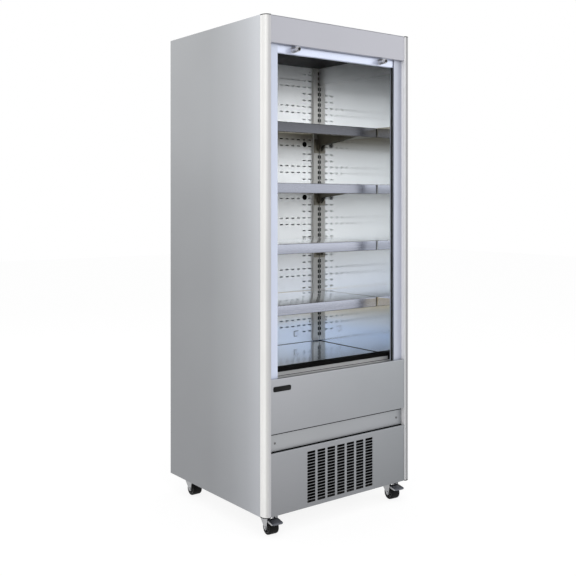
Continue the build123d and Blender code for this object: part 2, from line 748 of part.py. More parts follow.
with BuildPart() as shutter_rail:
    with BuildSketch(Plane.YZ) as rail_section:
        with Locations((depth((RAIL_FRONT + RAIL_BACK) / 2), height(RAIL_BOTTOM + RAIL_HEIGHT / 2))):
            Rectangle(RAIL_THICKNESS, RAIL_HEIGHT)
            chamfer(rail_section.vertices().group_by(Axis.X)[0], RAIL_EDGE)
            Rectangle(RAIL_THICKNESS - 2 * RAIL_WALL, RAIL_HEIGHT - 2 * RAIL_WALL, mode=Mode.SUBTRACT)
    extrude(amount=RAIL_HALF, both=True)
    # end shoes close the rail and run in the guides
    for side in (-1, 1):
        block(
            (side * (RAIL_HALF - SHOE), side * RAIL_HALF),
            (RAIL_FRONT + 1, RAIL_BACK - 1),
            (height(RAIL_BOTTOM + 1), height(RAIL_BOTTOM + RAIL_HEIGHT - 1)),
        )
        block(
            (side * RAIL_HALF, side * SLAT_HALF),
            (CURTAIN_MIDDLE - TONGUE / 2, CURTAIN_MIDDLE + TONGUE / 2),
            (height(RAIL_BOTTOM + 2), height(RAIL_BOTTOM + RAIL_HEIGHT - 2)),
        )
    with Locations(facing_front(RAIL_FRONT)):
        with Locations(*lock_centres):
            Hole(LOCK_RADIUS + FIT, depth=2 * RAIL_WALL)
    with BuildSketch(Plane.XY.offset(height(RAIL_BOTTOM))):
        for side in (-1, 1):
            with Locations((side * LOCK_X + CAM_SLOT, depth(CAM_FRONT + CAM / 2))):
                Rectangle(CAM_LENGTH + LOCK_RADIUS, 2 * CAM)
    extrude(amount=RAIL_WALL, mode=Mode.SUBTRACT)
save(shutter_rail, "shutter_rail")

with BuildPart() as lock_barrels:
    with BuildSketch(facing_front(LOCK_BACK)):
        with Locations(*lock_centres):
            Circle(LOCK_RADIUS)
            Circle(PLUG, mode=Mode.SUBTRACT)
    extrude(amount=LOCK_BACK + LOCK_SHOULDER)
    with BuildSketch(facing_front(-LOCK_SHOULDER)):
        with Locations(*lock_centres):
            Circle(LOCK_TIP_RADIUS)
            Circle(PLUG, mode=Mode.SUBTRACT)
    extrude(amount=LOCK_REACH - LOCK_SHOULDER)
save(lock_barrels, "lock_barrels")

CAM_WIDTH = 5.0  # half the width of a cam at the plug
CAM_END = 4.0  # and at its tip
for side_name, (lock_x, lock_z) in zip(("left", "right"), lock_centres):
    with BuildPart() as lock_plug:
        with BuildSketch(facing_front(CAM_FRONT)):
            with Locations((lock_x, lock_z)):
                Circle(PLUG - SHAFT_FIT)
        extrude(amount=CAM_FRONT + LOCK_REACH - PLUG_SUNK)
        # the cam that turns down out of the rail
        tip_x = lock_x + CAM_LENGTH
        with BuildSketch(facing_front(CAM_FRONT)):
            with BuildLine():
                Line((lock_x, lock_z + CAM_WIDTH), (tip_x - CAM_END, lock_z + CAM_END))
                ThreePointArc(
                    (tip_x - CAM_END, lock_z + CAM_END), (tip_x, lock_z), (tip_x - CAM_END, lock_z - CAM_END)
                )
                Line((tip_x - CAM_END, lock_z - CAM_END), (lock_x, lock_z - CAM_WIDTH))
                ThreePointArc(
                    (lock_x, lock_z - CAM_WIDTH), (lock_x - CAM_WIDTH, lock_z), (lock_x, lock_z + CAM_WIDTH)
                )
            make_face()
        extrude(amount=-CAM)
    save(lock_plug, f"lock_plug_{side_name}")


def slat_section():
    """A slat across its width: thick in the middle and thin where it hooks on to the next."""
    with BuildSketch(Plane.XY, mode=Mode.PRIVATE) as section:
        Rectangle(SLAT_PITCH - 3, SLAT)
        chamfer(section.vertices(), 1)
        Rectangle(SLAT_PITCH, SLAT / 3)
    return section.sketch_local


CURTAIN_TOP = CURTAIN_BOTTOM + 2 * SLAT_PITCH
with BuildPart() as shutter_curtain:
    with BuildSketch(Plane.YZ):
        for slat in range(2):
            middle = height(CURTAIN_BOTTOM + (slat + 0.5) * SLAT_PITCH)
            with Locations(Location((depth(CURTAIN_MIDDLE), middle), 90)):
                add(slat_section())
    extrude(amount=SLAT_HALF, both=True)
save(shutter_curtain, "shutter_curtain")

# The rest of the curtain lies on the barrel in a spiral. Each slat is a chord between two points of the
# spiral, found by stepping the angle until the chord is one slat long.
CURTAIN_LEFT = SHUTTER_TRAVEL - SLAT_PITCH


def spiral_point(angle, outwards=0.0):
    """A point beside the middle of the wound curtain, from the front of the roll over its top."""
    radius = ROLL_RADIUS - SLAT_LAYER * angle / (2 * pi) + outwards
    return (depth(ROLL_DEPTH) - radius * cos(angle), height(ROLL_LEVEL) + radius * sin(angle))


def spiral_stops(first_angle, length):
    """The angles of the joints between the slats, for a length of curtain."""
    stops = [first_angle]
    while (len(stops) - 1) * SLAT_PITCH < length:
        angle = stops[-1]
        start = spiral_point(angle)
        chord = 0.0
        while chord < SLAT_PITCH:
            angle += radians(0.2)
            end = spiral_point(angle)
            chord = sqrt((end[0] - start[0]) ** 2 + (end[1] - start[1]) ** 2)
        stops.append(angle)
    return stops


ROLL_HALF = SLAT_HALF - 4
JOURNAL_HALF = SLAT_HALF + 8
stops = spiral_stops(radians(8), CURTAIN_LEFT)
with BuildPart() as shutter_roll:
    with BuildSketch(Plane.YZ):
        with BuildLine():
            outside_faces = [spiral_point(stop, SLAT / 2) for stop in stops]
            inside_faces = [spiral_point(stop, -SLAT / 2) for stop in reversed(stops)]
            Polyline(*outside_faces, *inside_faces, close=True)
        make_face()
    extrude(amount=ROLL_HALF, both=True)
    with BuildSketch(Plane.YZ):
        with Locations((depth(ROLL_DEPTH), height(ROLL_LEVEL))):
            Circle(BARREL_RADIUS)
    extrude(amount=ROLL_HALF, both=True)
    with BuildSketch(Plane.YZ):
        with Locations((depth(ROLL_DEPTH), height(ROLL_LEVEL))):
            Circle(JOURNAL_RADIUS)
    extrude(amount=JOURNAL_HALF, both=True)
save(shutter_roll, "shutter_roll")


# ================================================================ refrigeration
COIL = ((-190.0, 190.0), (24.0, 62.0), (height(12), height(205)))
FIN_COUNT = 8
FIN = 3.0
CORE_IN = 4.0  # the block of tubes lies this far inside the fins' outline


def coil(x, y, z):
    """A heat exchanger with upright fins, between two X, two depths and two Z."""
    with BuildPart() as exchanger:
        block((x[0] + FIN, x[1] - FIN), (y[0] + CORE_IN, y[1] - CORE_IN), z)
        with BuildSketch(Plane.XY.offset(z[0])):
            with Locations((0, depth(sum(y) / 2))):
                with GridLocations((x[1] - x[0] - 2 * FIN) / (FIN_COUNT - 1), 0, FIN_COUNT, 1):
                    Rectangle(FIN, y[1] - y[0])
        extrude(amount=z[1] - z[0])
    return exchanger


save(coil(*COIL), "condenser_coil")

FAN_RADIUS = 90.0
FAN_LEVEL = 112.0
FAN_FRONT = 66.0
BLADE_COUNT = 5
RING_SIDES = 16
RING_GAP = 5.0  # from the blades to the ring
RING_WALL = 1.5
SPIDER_ARM = 9.0
MOTOR = 42.0  # from the plate to the motor's back


def fan_mount(plate, level, back, ring_depth, motor_radius):
    """A plate with a ring round the blades, and a motor behind them on three arms."""
    radius = plate[2]
    with BuildPart() as mount:
        with BuildSketch(facing_front(back)):
            with Locations((0, height(level))):
                Rectangle(plate[0], plate[1])
                RegularPolygon(radius + RING_GAP, RING_SIDES, mode=Mode.SUBTRACT)
        extrude(amount=SHEET)
        with BuildSketch(facing_front(back)):
            with Locations((0, height(level))):
                RegularPolygon(radius + RING_GAP + RING_WALL, RING_SIDES)
                RegularPolygon(radius + RING_GAP, RING_SIDES, mode=Mode.SUBTRACT)
        extrude(amount=ring_depth)
        with BuildSketch(facing_front(back + SPIDER_ARM)):
            with Locations((0, height(level))):
                with PolarLocations(radius / 2 + SPIDER_ARM, 3, start_angle=90):
                    Rectangle(radius + 2 * SPIDER_ARM, SPIDER_ARM)
        extrude(amount=SPIDER_ARM)
        with BuildSketch(facing_front(back + MOTOR)):
            with Locations((0, height(level))):
                RegularPolygon(motor_radius, RING_SIDES // 2)
        extrude(amount=MOTOR - 2)
    return mount


SHROUD = (64.0, 92.0)
save(
    fan_mount((360, 196, FAN_RADIUS), FAN_LEVEL, SHROUD[1], SHROUD[1] - SHROUD[0], 30),
    "condenser_fan_shroud",
)

HUB_SHARE = 0.3
HUB_THICKNESS = 18.0
NOSE = (7.0, 1.5)  # radius and height of the cap on the hub
BLADE = 1.8
BLADE_ROOT = (0.25, 0.42, 32.0)  # place and width as shares of the radius, and pitch in degrees
BLADE_TIP = (0.95, 0.56, 20.0)


def fan(radius, level, front, blades):
    """A propeller on a round hub, with pitched blades, that turns about an axis along Y."""
    hub = radius * HUB_SHARE
    with BuildPart() as propeller:
        with BuildSketch(facing_front(front + HUB_THICKNESS)):
            with Locations((0, height(level))):
                RegularPolygon(hub, RING_SIDES // 2)
        extrude(amount=HUB_THICKNESS)
        with BuildSketch(facing_front(front)):
            with Locations((0, height(level))):
                Circle(NOSE[0])
        extrude(amount=NOSE[1])
        for blade in range(blades):
            angle = 360 / blades * blade
            root = Plane.XZ.offset(-depth(front + HUB_THICKNESS / 2))
            spoke = Plane(
                origin=root.from_local_coords((0, height(level), 0)),
                x_dir=(sin(radians(angle)), 0, cos(radians(angle))),
                z_dir=(cos(radians(angle)), 0, -sin(radians(angle))),
            )
            # z_dir lies across the blade, so the spoke's own normal is turned to its root
            stations = []
            for reach, chord, pitch in (BLADE_ROOT, BLADE_TIP):
                station = Plane(
                    origin=spoke.from_local_coords((reach * radius, 0, 0)),
                    x_dir=spoke.z_dir,
                    z_dir=spoke.x_dir,
                ).rotated((0, 0, pitch))
                with BuildSketch(station) as blade_section:
                    Rectangle(chord * radius, BLADE)
                stations.append(blade_section.sketch)
            loft(sections=[s.faces()[0] for s in stations], ruled=True)
    return propeller


save(fan(FAN_RADIUS, FAN_LEVEL, FAN_FRONT, BLADE_COUNT), "condenser_fan")

EVAPORATOR = ((-225.0, 225.0), (300.0, 420.0), (height(STRIP_TOP + 6), height(STRIP_TOP + 140)))
save(coil(*EVAPORATOR), "evaporator_coil")

COLD_FAN_RADIUS = 70.0
COLD_FAN_LEVEL = STRIP_TOP + 84
COLD_FAN_FRONT = 226.0
COLD_RING = 20.0
save(
    fan_mount((560, 160, COLD_FAN_RADIUS), COLD_FAN_LEVEL, COLD_FAN_FRONT + COLD_RING + 6, COLD_RING, 24),
    "evaporator_fan_plate",
)
save(fan(COLD_FAN_RADIUS, COLD_FAN_LEVEL, COLD_FAN_FRONT + 2, BLADE_COUNT), "evaporator_fan")

COMPRESSOR = (-140.0, 400.0)  # X and depth of its axis
SHELL = (82.0, 26.0)  # radius and the dome's bevel
SHELL_LEVELS = (24.0, 172.0)
RAIL_PLATE = (200.0, 130.0, 10.0)
RUBBER_FOOT = (22.0, 12.0)
FOOT_PITCH = (168.0, 98.0)
TERMINALS = (34.0, 28.0)
with BuildPart() as compressor:
    on_axis = (COMPRESSOR[0], depth(COMPRESSOR[1]))
    with BuildSketch(Plane.XY.offset(height(SHELL_LEVELS[0]))):
        with Locations(on_axis):
            RegularPolygon(SHELL[0], RING_SIDES)
    extrude(amount=SHELL_LEVELS[1] - SHELL_LEVELS[0])
    chamfer(compressor.faces().sort_by(Axis.Z)[-1].edges(), SHELL[1])
    with BuildSketch(Plane.XY.offset(height(FRAME_SHEET + RUBBER_FOOT[1]))):
        with Locations(on_axis):
            Rectangle(RAIL_PLATE[0], RAIL_PLATE[1])
    extrude(amount=RAIL_PLATE[2])
    with BuildSketch(Plane.XY.offset(height(FRAME_SHEET))):
        with Locations(on_axis):
            with GridLocations(*FOOT_PITCH, 2, 2):
                Rectangle(RUBBER_FOOT[0], RUBBER_FOOT[0])
    extrude(amount=RUBBER_FOOT[1])
    terminals_x = COMPRESSOR[0] + SHELL[0] - 12
    block(
        (terminals_x, terminals_x + TERMINALS[0]),
        (COMPRESSOR[1] - TERMINALS[1], COMPRESSOR[1] + TERMINALS[1]),
        (height(60), height(118)),
    )
save(compressor, "compressor")

TRAY = ((40.0, 260.0), (330.0, 600.0), (height(FRAME_SHEET), height(40)))
with BuildPart() as drain_tray:
    block(*TRAY)
    chamfer(drain_tray.edges().filter_by(Axis.Z), 12)
    offset(amount=-2, openings=drain_tray.faces().sort_by(Axis.Z)[-1])
save(drain_tray, "drain_tray")

CONTROLS = ((205.0, 282.0), (110.0, 250.0), (height(60), height(180)))
with BuildPart() as control_box:
    block(*CONTROLS)
    chamfer(control_box.edges().filter_by(Axis.Z), 5)
save(control_box, "control_box")


# ================================================================ castors
SWIVEL_X = OUTER - 56
FRONT_SWIVEL = 58.0
REAR_SWIVEL = 569.0
FRONT_TURN = -6.0  # the front castors stand turned by this angle about their swivels
TRAIL = 22.0
WHEEL_RADIUS = 25.0
WHEEL_HALF = 19.0
AXLE = 4.0
PLATE = 2.5
FORK_WALL = 2.2
FORK_INNER = WHEEL_HALF + 1.2
FORK_OUTER = FORK_INNER + FORK_WALL
PLATE_SIZE = 60.0
RACE_RADIUS = 18.0
RACE_CLEAR = 0.3
CROWN_TOP = CASTOR_HEIGHT - PLATE - 3.6
CROWN_BOTTOM = CROWN_TOP - FORK_WALL
CROWN_LENGTH = 44.0
CROWN_CUT = 9.0
KINGPIN = 5.0
KINGPIN_BOTTOM = CROWN_BOTTOM - 2.6
PEDAL_PIN = 2.2
PEDAL_BEHIND_AXLE = 4.0
PEDAL_LEVEL = 57.0
SWIVELS = [
    ("front_left", -SWIVEL_X, FRONT_SWIVEL, FRONT_TURN),
    ("front_right", SWIVEL_X, FRONT_SWIVEL, FRONT_TURN),
    ("rear_left", -SWIVEL_X, REAR_SWIVEL, 0.0),
    ("rear_right", SWIVEL_X, REAR_SWIVEL, 0.0),
]
swivel_centres = [(x, depth(y)) for name, x, y, turn in SWIVELS]

with BuildPart() as castor_plates:
    with BuildSketch(Plane.XY.offset(CASTOR_HEIGHT - PLATE)):
        with Locations(*swivel_centres):
            Rectangle(PLATE_SIZE, PLATE_SIZE)
    extrude(amount=PLATE)
    with BuildSketch(Plane.XY.offset(CROWN_TOP + RACE_CLEAR)):
        with Locations(*swivel_centres):
            RegularPolygon(RACE_RADIUS, 12)
    extrude(amount=CASTOR_HEIGHT - PLATE - CROWN_TOP - RACE_CLEAR)
    # the kingpin passes through the fork's crown
    with BuildSketch(Plane.XY.offset(KINGPIN_BOTTOM)):
        with Locations(*swivel_centres):
            Circle(KINGPIN)
    extrude(amount=CROWN_TOP + 2 * RACE_CLEAR - KINGPIN_BOTTOM)
save(castor_plates, "castor_plates")


def beside(swivel_x, offset_x):
    """A plane that looks along X, at an offset from a castor's middle, drawn on in Y and Z."""
    return Plane.YZ.offset(swivel_x + offset_x)


for castor_name, swivel_x, swivel_depth, turn in SWIVELS:
    axle_depth = swivel_depth - TRAIL
    swivel_axis = Axis((swivel_x, depth(swivel_depth), 0), (0, 0, 1))
    braked = castor_name.startswith("front")
    with BuildPart() as castor_fork:
        # one leg, seen from the side: wide under the crown and narrow at the axle
        with BuildSketch(beside(swivel_x, FORK_INNER)):
            with BuildLine():
                Polyline(
                    (depth(swivel_depth + 19), CROWN_TOP),
                    (depth(swivel_depth + 19), CROWN_TOP - 8),
                    (depth(axle_depth + 7), WHEEL_RADIUS - 4),
                    (depth(axle_depth + 3), WHEEL_RADIUS - 7),
                    (depth(axle_depth - 3), WHEEL_RADIUS - 7),
                    (depth(axle_depth - 7), WHEEL_RADIUS - 3),
                    (depth(axle_depth - 11), CROWN_TOP - 14),
                    (depth(axle_depth - 11), CROWN_TOP - 3),
                    (depth(axle_depth - 6), CROWN_TOP),
                    close=True,
                )
            make_face()
        extrude(amount=FORK_WALL)
        mirror(about=beside(swivel_x, 0))
        with BuildSketch(Plane.XY.offset(CROWN_BOTTOM)):
            with Locations((swivel_x, depth(swivel_depth + 1))):
                crown = Rectangle(2 * FORK_OUTER, CROWN_LENGTH)
            chamfer(crown.vertices().group_by(Axis.Y)[-1], CROWN_CUT)
            with Locations((swivel_x, depth(swivel_depth))):
                Circle(KINGPIN + SHAFT_FIT, mode=Mode.SUBTRACT)
        extrude(amount=FORK_WALL)
        with BuildSketch(beside(swivel_x, 0)):
            with Locations((depth(axle_depth), WHEEL_RADIUS)):
                Circle(AXLE)
        extrude(amount=FORK_OUTER, both=True)
        if braked:
            with BuildSketch(beside(swivel_x, 0)):
                with Locations((depth(axle_depth + PEDAL_BEHIND_AXLE), PEDAL_LEVEL)):
                    Circle(PEDAL_PIN)
            extrude(amount=FORK_OUTER, both=True)
    fork = castor_fork.part.rotate(swivel_axis, turn)
    fork.label = f"castor_fork_{castor_name}"
    export_step(fork, f"parts/{fork.label}.step")

    with BuildPart() as castor_wheel:
        with BuildSketch(beside(swivel_x, 0)):
            with Locations((depth(axle_depth), WHEEL_RADIUS)):
                Circle(WHEEL_RADIUS)
                Circle(AXLE + SHAFT_FIT, mode=Mode.SUBTRACT)
        extrude(amount=WHEEL_HALF, both=True)
    wheel = castor_wheel.part.rotate(swivel_axis, turn)
    wheel.label = f"castor_wheel_{castor_name}"
    export_step(wheel, f"parts/{wheel.label}.step")

PEDAL_HALF = 21.5
PEDAL_REACH = 53.0
PEDAL_DROP = 7.0
PEDAL_LIP = 4.0
PEDAL_SHEET = 2.0
PEDAL_BACK = 17.5  # the tread begins this far in front of the pin
pivot_depth = FRONT_SWIVEL - TRAIL + PEDAL_BEHIND_AXLE
for side_name, side in (("left", -1), ("right", 1)):
    pedal_x = side * SWIVEL_X
    with BuildPart() as brake_pedal:
        # the tread plate slopes down in front of the fork to a lip at its tip
        with BuildSketch(beside(pedal_x, 0)):
            add(
                side_section(
                    [
                        (pivot_depth - PEDAL_BACK, PEDAL_LEVEL - 2.5),
                        (pivot_depth - PEDAL_REACH + PEDAL_LIP, PEDAL_LEVEL - PEDAL_DROP),
                        (pivot_depth - PEDAL_REACH, PEDAL_LEVEL - PEDAL_DROP - PEDAL_LIP),
                    ],
                    thickness=PEDAL_SHEET,
                )
            )
        extrude(amount=PEDAL_HALF, both=True)
        # a lug goes back to the pin, inside the fork
        with BuildSketch(beside(pedal_x, 0)):
            with BuildLine():
                Polyline(
                    (depth(pivot_depth - PEDAL_BACK - 1.5), PEDAL_LEVEL - 3.4),
                    (depth(pivot_depth - 2), PEDAL_LEVEL - 4),
                    (depth(pivot_depth + 4), PEDAL_LEVEL - 3),
                    (depth(pivot_depth + 4), PEDAL_LEVEL + 3.5),
                    (depth(pivot_depth - PEDAL_BACK - 1.5), PEDAL_LEVEL - 2.2),
                    close=True,
                )
            make_face()
            with Locations((depth(pivot_depth), PEDAL_LEVEL)):
                Circle(PEDAL_PIN + SHAFT_FIT, mode=Mode.SUBTRACT)
        extrude(amount=FORK_INNER - 4, both=True)
    swivel_axis = Axis((pedal_x, depth(FRONT_SWIVEL), 0), (0, 0, 1))
    pedal = brake_pedal.part.rotate(swivel_axis, FRONT_TURN)
    pedal.label = f"brake_pedal_{side_name}"
    export_step(pedal, f"parts/{pedal.label}.step")
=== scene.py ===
from math import atan2, cos, hypot, pi, radians, sin, tan

import bmesh
import bpy
from mathutils import Matrix, Vector


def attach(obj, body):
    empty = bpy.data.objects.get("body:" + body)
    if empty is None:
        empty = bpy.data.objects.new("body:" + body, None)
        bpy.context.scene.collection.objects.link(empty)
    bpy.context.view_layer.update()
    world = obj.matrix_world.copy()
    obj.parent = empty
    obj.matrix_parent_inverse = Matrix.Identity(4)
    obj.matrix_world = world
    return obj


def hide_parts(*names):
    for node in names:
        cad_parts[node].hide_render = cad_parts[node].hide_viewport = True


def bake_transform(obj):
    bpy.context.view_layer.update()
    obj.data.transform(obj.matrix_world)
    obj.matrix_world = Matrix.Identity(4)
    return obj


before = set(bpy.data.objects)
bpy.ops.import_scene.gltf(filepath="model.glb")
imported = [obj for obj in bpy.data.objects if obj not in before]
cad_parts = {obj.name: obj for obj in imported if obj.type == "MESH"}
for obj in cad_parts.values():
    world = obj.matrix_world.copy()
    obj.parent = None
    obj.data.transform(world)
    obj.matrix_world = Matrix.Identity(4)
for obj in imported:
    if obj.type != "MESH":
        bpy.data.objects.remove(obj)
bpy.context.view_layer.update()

# ======== the cabinet's measures, in millimetres
# depths are taken from the plane of the front panels, and levels from the cabinet's underside
MM = 0.001
FRONT = -312  # Y of the plane of the front panels
UNDERSIDE = 72  # Z of the cabinet's underside
DEPTH = 640
PANEL_HALF = 322.9  # half the width of the front panels
LINED = 289.4  # half the width of the well
SHEET = 1.2  # thickness
GRILLE_TOP = 217.5
DECK_LEVEL = 488
SHELF_PITCH = 224
SHELF_LEVELS = [707 + SHELF_PITCH * k for k in range(4)]
CEILING = 1666
BACK_LINER = 488  # depth of the well's back


def at_depth(depth):
    """Y of a depth."""
    return FRONT + depth


def at_level(level):
    """Z of a level."""
    return UNDERSIDE + level


def spot(x, depth, level):
    return (x, at_depth(depth), at_level(level))


def side_view(point, along):
    """Places a (depth, level) point of a section that runs along X."""
    return spot(along, *point)


def plan_view(point, along):
    """Places an (X, depth) point of a section that runs upwards."""
    return spot(*point, along)


def front_view(point, along):
    """Places an (X, level) point of an outline that runs backwards."""
    return spot(point[0], along, point[1])


# ======== materials
def feed(tree, node, inputs):
    """Sets or links a node's inputs."""
    for key, value in inputs.items():
        if isinstance(value, bpy.types.NodeSocket):
            tree.links.new(value, node.inputs[key])
        else:
            node.inputs[key].default_value = value


def node_in(tree, kind, inputs=None, **settings):
    """A new shader node."""
    made = tree.nodes.new(kind)
    for key, value in settings.items():
        setattr(made, key, value)
    feed(tree, made, inputs or {})
    return made


def triple(value):
    """A vector, or a number for each of its three parts."""
    return value if isinstance(value, tuple) else (value,) * 3


def rgba(colour):
    """A colour of three parts, or a number for a grey one."""
    return (*triple(colour), 1)


def mixed(tree, factor, first, second, blend="MIX"):
    """The colour between two colours."""
    inputs = {0: factor, 6: first, 7: second}
    return node_in(tree, "ShaderNodeMix", inputs, data_type="RGBA", blend_type=blend).outputs[2]


def maths(tree, operation, first, second):
    return node_in(tree, "ShaderNodeMath", {0: first, 1: second}, operation=operation).outputs[0]


def ranged(tree, value, low, high, to_low, to_high):
    inputs = {"Value": value, "From Min": low, "From Max": high, "To Min": to_low, "To Max": to_high}
    return node_in(tree, "ShaderNodeMapRange", inputs).outputs[0]


def noise(tree, coordinates, scale, detail=3):
    """Noise whose scale differs for each axis, so that it can be drawn out into a brushed grain."""
    mapped = node_in(tree, "ShaderNodeMapping", {"Vector": coordinates, "Scale": triple(scale)})
    inputs = {"Vector": mapped.outputs[0], "Scale": 1, "Detail": detail, "Roughness": 0.55}
    return node_in(tree, "ShaderNodeTexNoise", inputs).outputs[0]


def spangle(tree, coordinates, scale):
    """The crystals of a zinc coat."""
    mapped = node_in(tree, "ShaderNodeMapping", {"Vector": coordinates, "Scale": triple(scale)})
    crystals = node_in(tree, "ShaderNodeTexVoronoi", {"Vector": mapped.outputs[0], "Scale": 1})
    return node_in(tree, "ShaderNodeRGBToBW", {"Color": crystals.outputs["Color"]}).outputs[0]


def look(
    name, light, dark, roughness, metallic=0, specular=0.5, spread=0.05, patch=5,
    grain=400, shade=0.05, relief=0, painted_light_slopes=(), painted_shade_bands=(), haze=None, crystals=False,
):
    """A surface with soft patches, a fine grain in colour, roughness and relief, and slow changes of tone,
    which are painted light and shade.

    painted_light_slopes are (axis, low, high, tint): painted light and shade, the colour tinted more and
    more from low
    to high. painted_shade_bands are (top, height, tint): painted shade under a shelf, a tint that grows
    towards the
    shelf over it and ends there. haze is (low, high, extra): the roughness grows by this much with the
    height.
    """
    made = bpy.data.materials.new(name)
    made.use_nodes = True
    tree = made.node_tree
    shader = tree.nodes["Principled BSDF"]
    coordinates = node_in(tree, "ShaderNodeTexCoord").outputs["Object"]
    patches = ranged(tree, noise(tree, coordinates, patch, 2), 0.3, 0.7, 0, 1)
    colour = mixed(tree, patches, rgba(dark), rgba(light))
    texture = spangle(tree, coordinates, grain) if crystals else noise(tree, coordinates, grain, 4)
    fine = ranged(tree, texture, 0.25, 0.75, 1 - shade, 1 + shade)
    colour = mixed(tree, 1, colour, fine, "MULTIPLY")
    places = node_in(tree, "ShaderNodeSeparateXYZ", {"Vector": coordinates}).outputs
    # painted light and shade: the colour tinted by place along an axis
    for axis, low, high, tint in painted_light_slopes:
        tinted = mixed(tree, ranged(tree, places[axis], low, high, 0, 1), rgba(1), rgba(tint))
        colour = mixed(tree, 1, colour, tinted, "MULTIPLY")
    # painted shade under a shelf: a tint that grows towards the shelf over it
    for top, height, tint in painted_shade_bands:
        amount = ranged(tree, places[2], top - height, top, 0, 1)
        amount = maths(tree, "MULTIPLY", amount, maths(tree, "LESS_THAN", places[2], top))
        colour = mixed(tree, amount, colour, mixed(tree, 1, colour, rgba(tint), "MULTIPLY"))
    worn = ranged(tree, texture, 0.2, 0.8, roughness - spread, roughness + spread)
    if haze:
        worn = maths(tree, "ADD", worn, ranged(tree, places[2], haze[0], haze[1], 0, haze[2]))
    inputs = {"Base Color": colour, "Roughness": worn, "Metallic": metallic, "Specular IOR Level": specular}
    if relief:
        bump = node_in(tree, "ShaderNodeBump", {"Height": texture, "Distance": relief, "Strength": 0.6})
        inputs["Normal"] = bump.outputs[0]
    feed(tree, shader, inputs)
    return made


UPRIGHT_GRAIN = (1400, 1400, 18)
LEVEL_GRAIN = (16, 16, 1500)
X_GRAIN = (14, 1500, 1500)
BRUSHED = {"grain": X_GRAIN, "shade": 0.03, "relief": 0.00003}
SATIN = {"grain": X_GRAIN, "shade": 0.02, "relief": 0.00002}
DRAWN = {"grain": UPRIGHT_GRAIN, "shade": 0.02, "relief": 0.00002}

# painted shade: the side sheet darker towards the back and towards the bottom
SIDE_PAINTED_SHADE = (
    (1, -0.272, -0.202, (0.84, 0.84, 0.838)),
    (1, -0.202, -0.102, (0.85, 0.849, 0.845)),
    (1, -0.102, 0.028, (0.88, 0.879, 0.875)),
    (1, 0.028, 0.29, (0.965, 0.962, 0.96)),
    (2, 1.5, 0.2, (0.92, 0.92, 0.925)),
    (2, 0.7, 0.1, (0.87, 0.87, 0.875)),
)
# painted shade: the front panel darker towards the right and towards the bottom
FACE_PAINTED_SHADE = ((0, -0.3, 0.32, (0.82, 0.84, 0.84)), (2, 0.55, 0.07, (0.62, 0.62, 0.615)))
# painted shade: the service strip darker towards the right
STRIP_PAINTED_SHADE = ((0, -0.3, 0.32, (0.84, 0.86, 0.87)),)
# painted highlight on the left post's outer face, and painted shade across its front
LEFT_POST_PAINTED_LIGHT = ((0, -0.3452, -0.3415, 0.72), (0, -0.3415, -0.33, (0.78, 0.78, 0.82)))
# painted shade on the right post's outer edge, and darker towards the bottom
RIGHT_POST_PAINTED_SHADE = ((0, 0.3244, 0.3262, (0.33, 0.33, 0.34)), (2, 1.5, 0.1, 0.84))
# painted shade: the guides darker towards the top and towards the right
GUIDE_PAINTED_SHADE = ((2, 0.7, 1.6, (0.84, 0.84, 0.83)), (0, 0, 0.3, (0.83, 0.81, 0.79)))
# painted reflection: the liner and the back panel bluer towards the bottom of the well
LINER_PAINTED_REFLECTION = ((2, 0.95, 0.8, (0.95, 0.965, 1)), (2, 0.68, 0.635, (0.87, 0.915, 0.97)))
BACK_PAINTED_REFLECTION = ((2, 1, 0.8, (0.97, 0.98, 1.01)), (2, 0.68, 0.635, (0.93, 0.965, 1.03)))
# painted reflection: the shelf lips darker towards the top shelf
LIP_PAINTED_REFLECTION = ((2, 1.1, 1.45, (0.23, 0.225, 0.215)),)
# painted shade on the liner and the back panel under the top shelf, and a warm painted shade under the
# lowest shelf
SHELF_PAINTED_SHADE = (
    (at_level(SHELF_LEVELS[3]) * MM, 0.075, (0.4, 0.36, 0.28)),
    (at_level(SHELF_LEVELS[0]) * MM, 0.15, (0.93, 0.8, 0.57)),
)

SIDE = look(
    "side_sheet", (0.598, 0.617, 0.648), (0.556, 0.572, 0.6), 0.42, 0.75,
    **{**BRUSHED, "grain": LEVEL_GRAIN}, patch=1.6, painted_light_slopes=SIDE_PAINTED_SHADE,
)
REAR = look("rear_sheet", 0.5, 0.46, 0.36, 0.9, grain=120, shade=0.06, crystals=True)
FACE = look(
    "front_panel", (0.452, 0.46, 0.488), (0.418, 0.427, 0.452), 0.36, 0.85,
    **BRUSHED, patch=1.8, painted_light_slopes=FACE_PAINTED_SHADE,
)
STRIP = look(
    "service_strip_sheet", (0.425, 0.43, 0.45), (0.39, 0.4, 0.415), 0.4, 0.7,
    **BRUSHED, patch=1.8, painted_light_slopes=STRIP_PAINTED_SHADE,
)
# painted light: the sill trough gets its own lighter copy of the front sheet, against the shade of its
# recess
TROUGH = look("sill_sheet_painted_light", (0.55, 0.555, 0.56), (0.5, 0.505, 0.51), 0.4, 0.5, **BRUSHED)
HEADER = look("header_panel_finish", (0.4, 0.402, 0.44), (0.378, 0.38, 0.415), 0.34, 0.8, **SATIN, patch=1.5)
LEFT_POST = look(
    "left_post_anodised", (0.94, 0.935, 0.92), (0.9, 0.895, 0.88), 0.34, 0.25, 0.3,
    **DRAWN, painted_light_slopes=LEFT_POST_PAINTED_LIGHT,
)
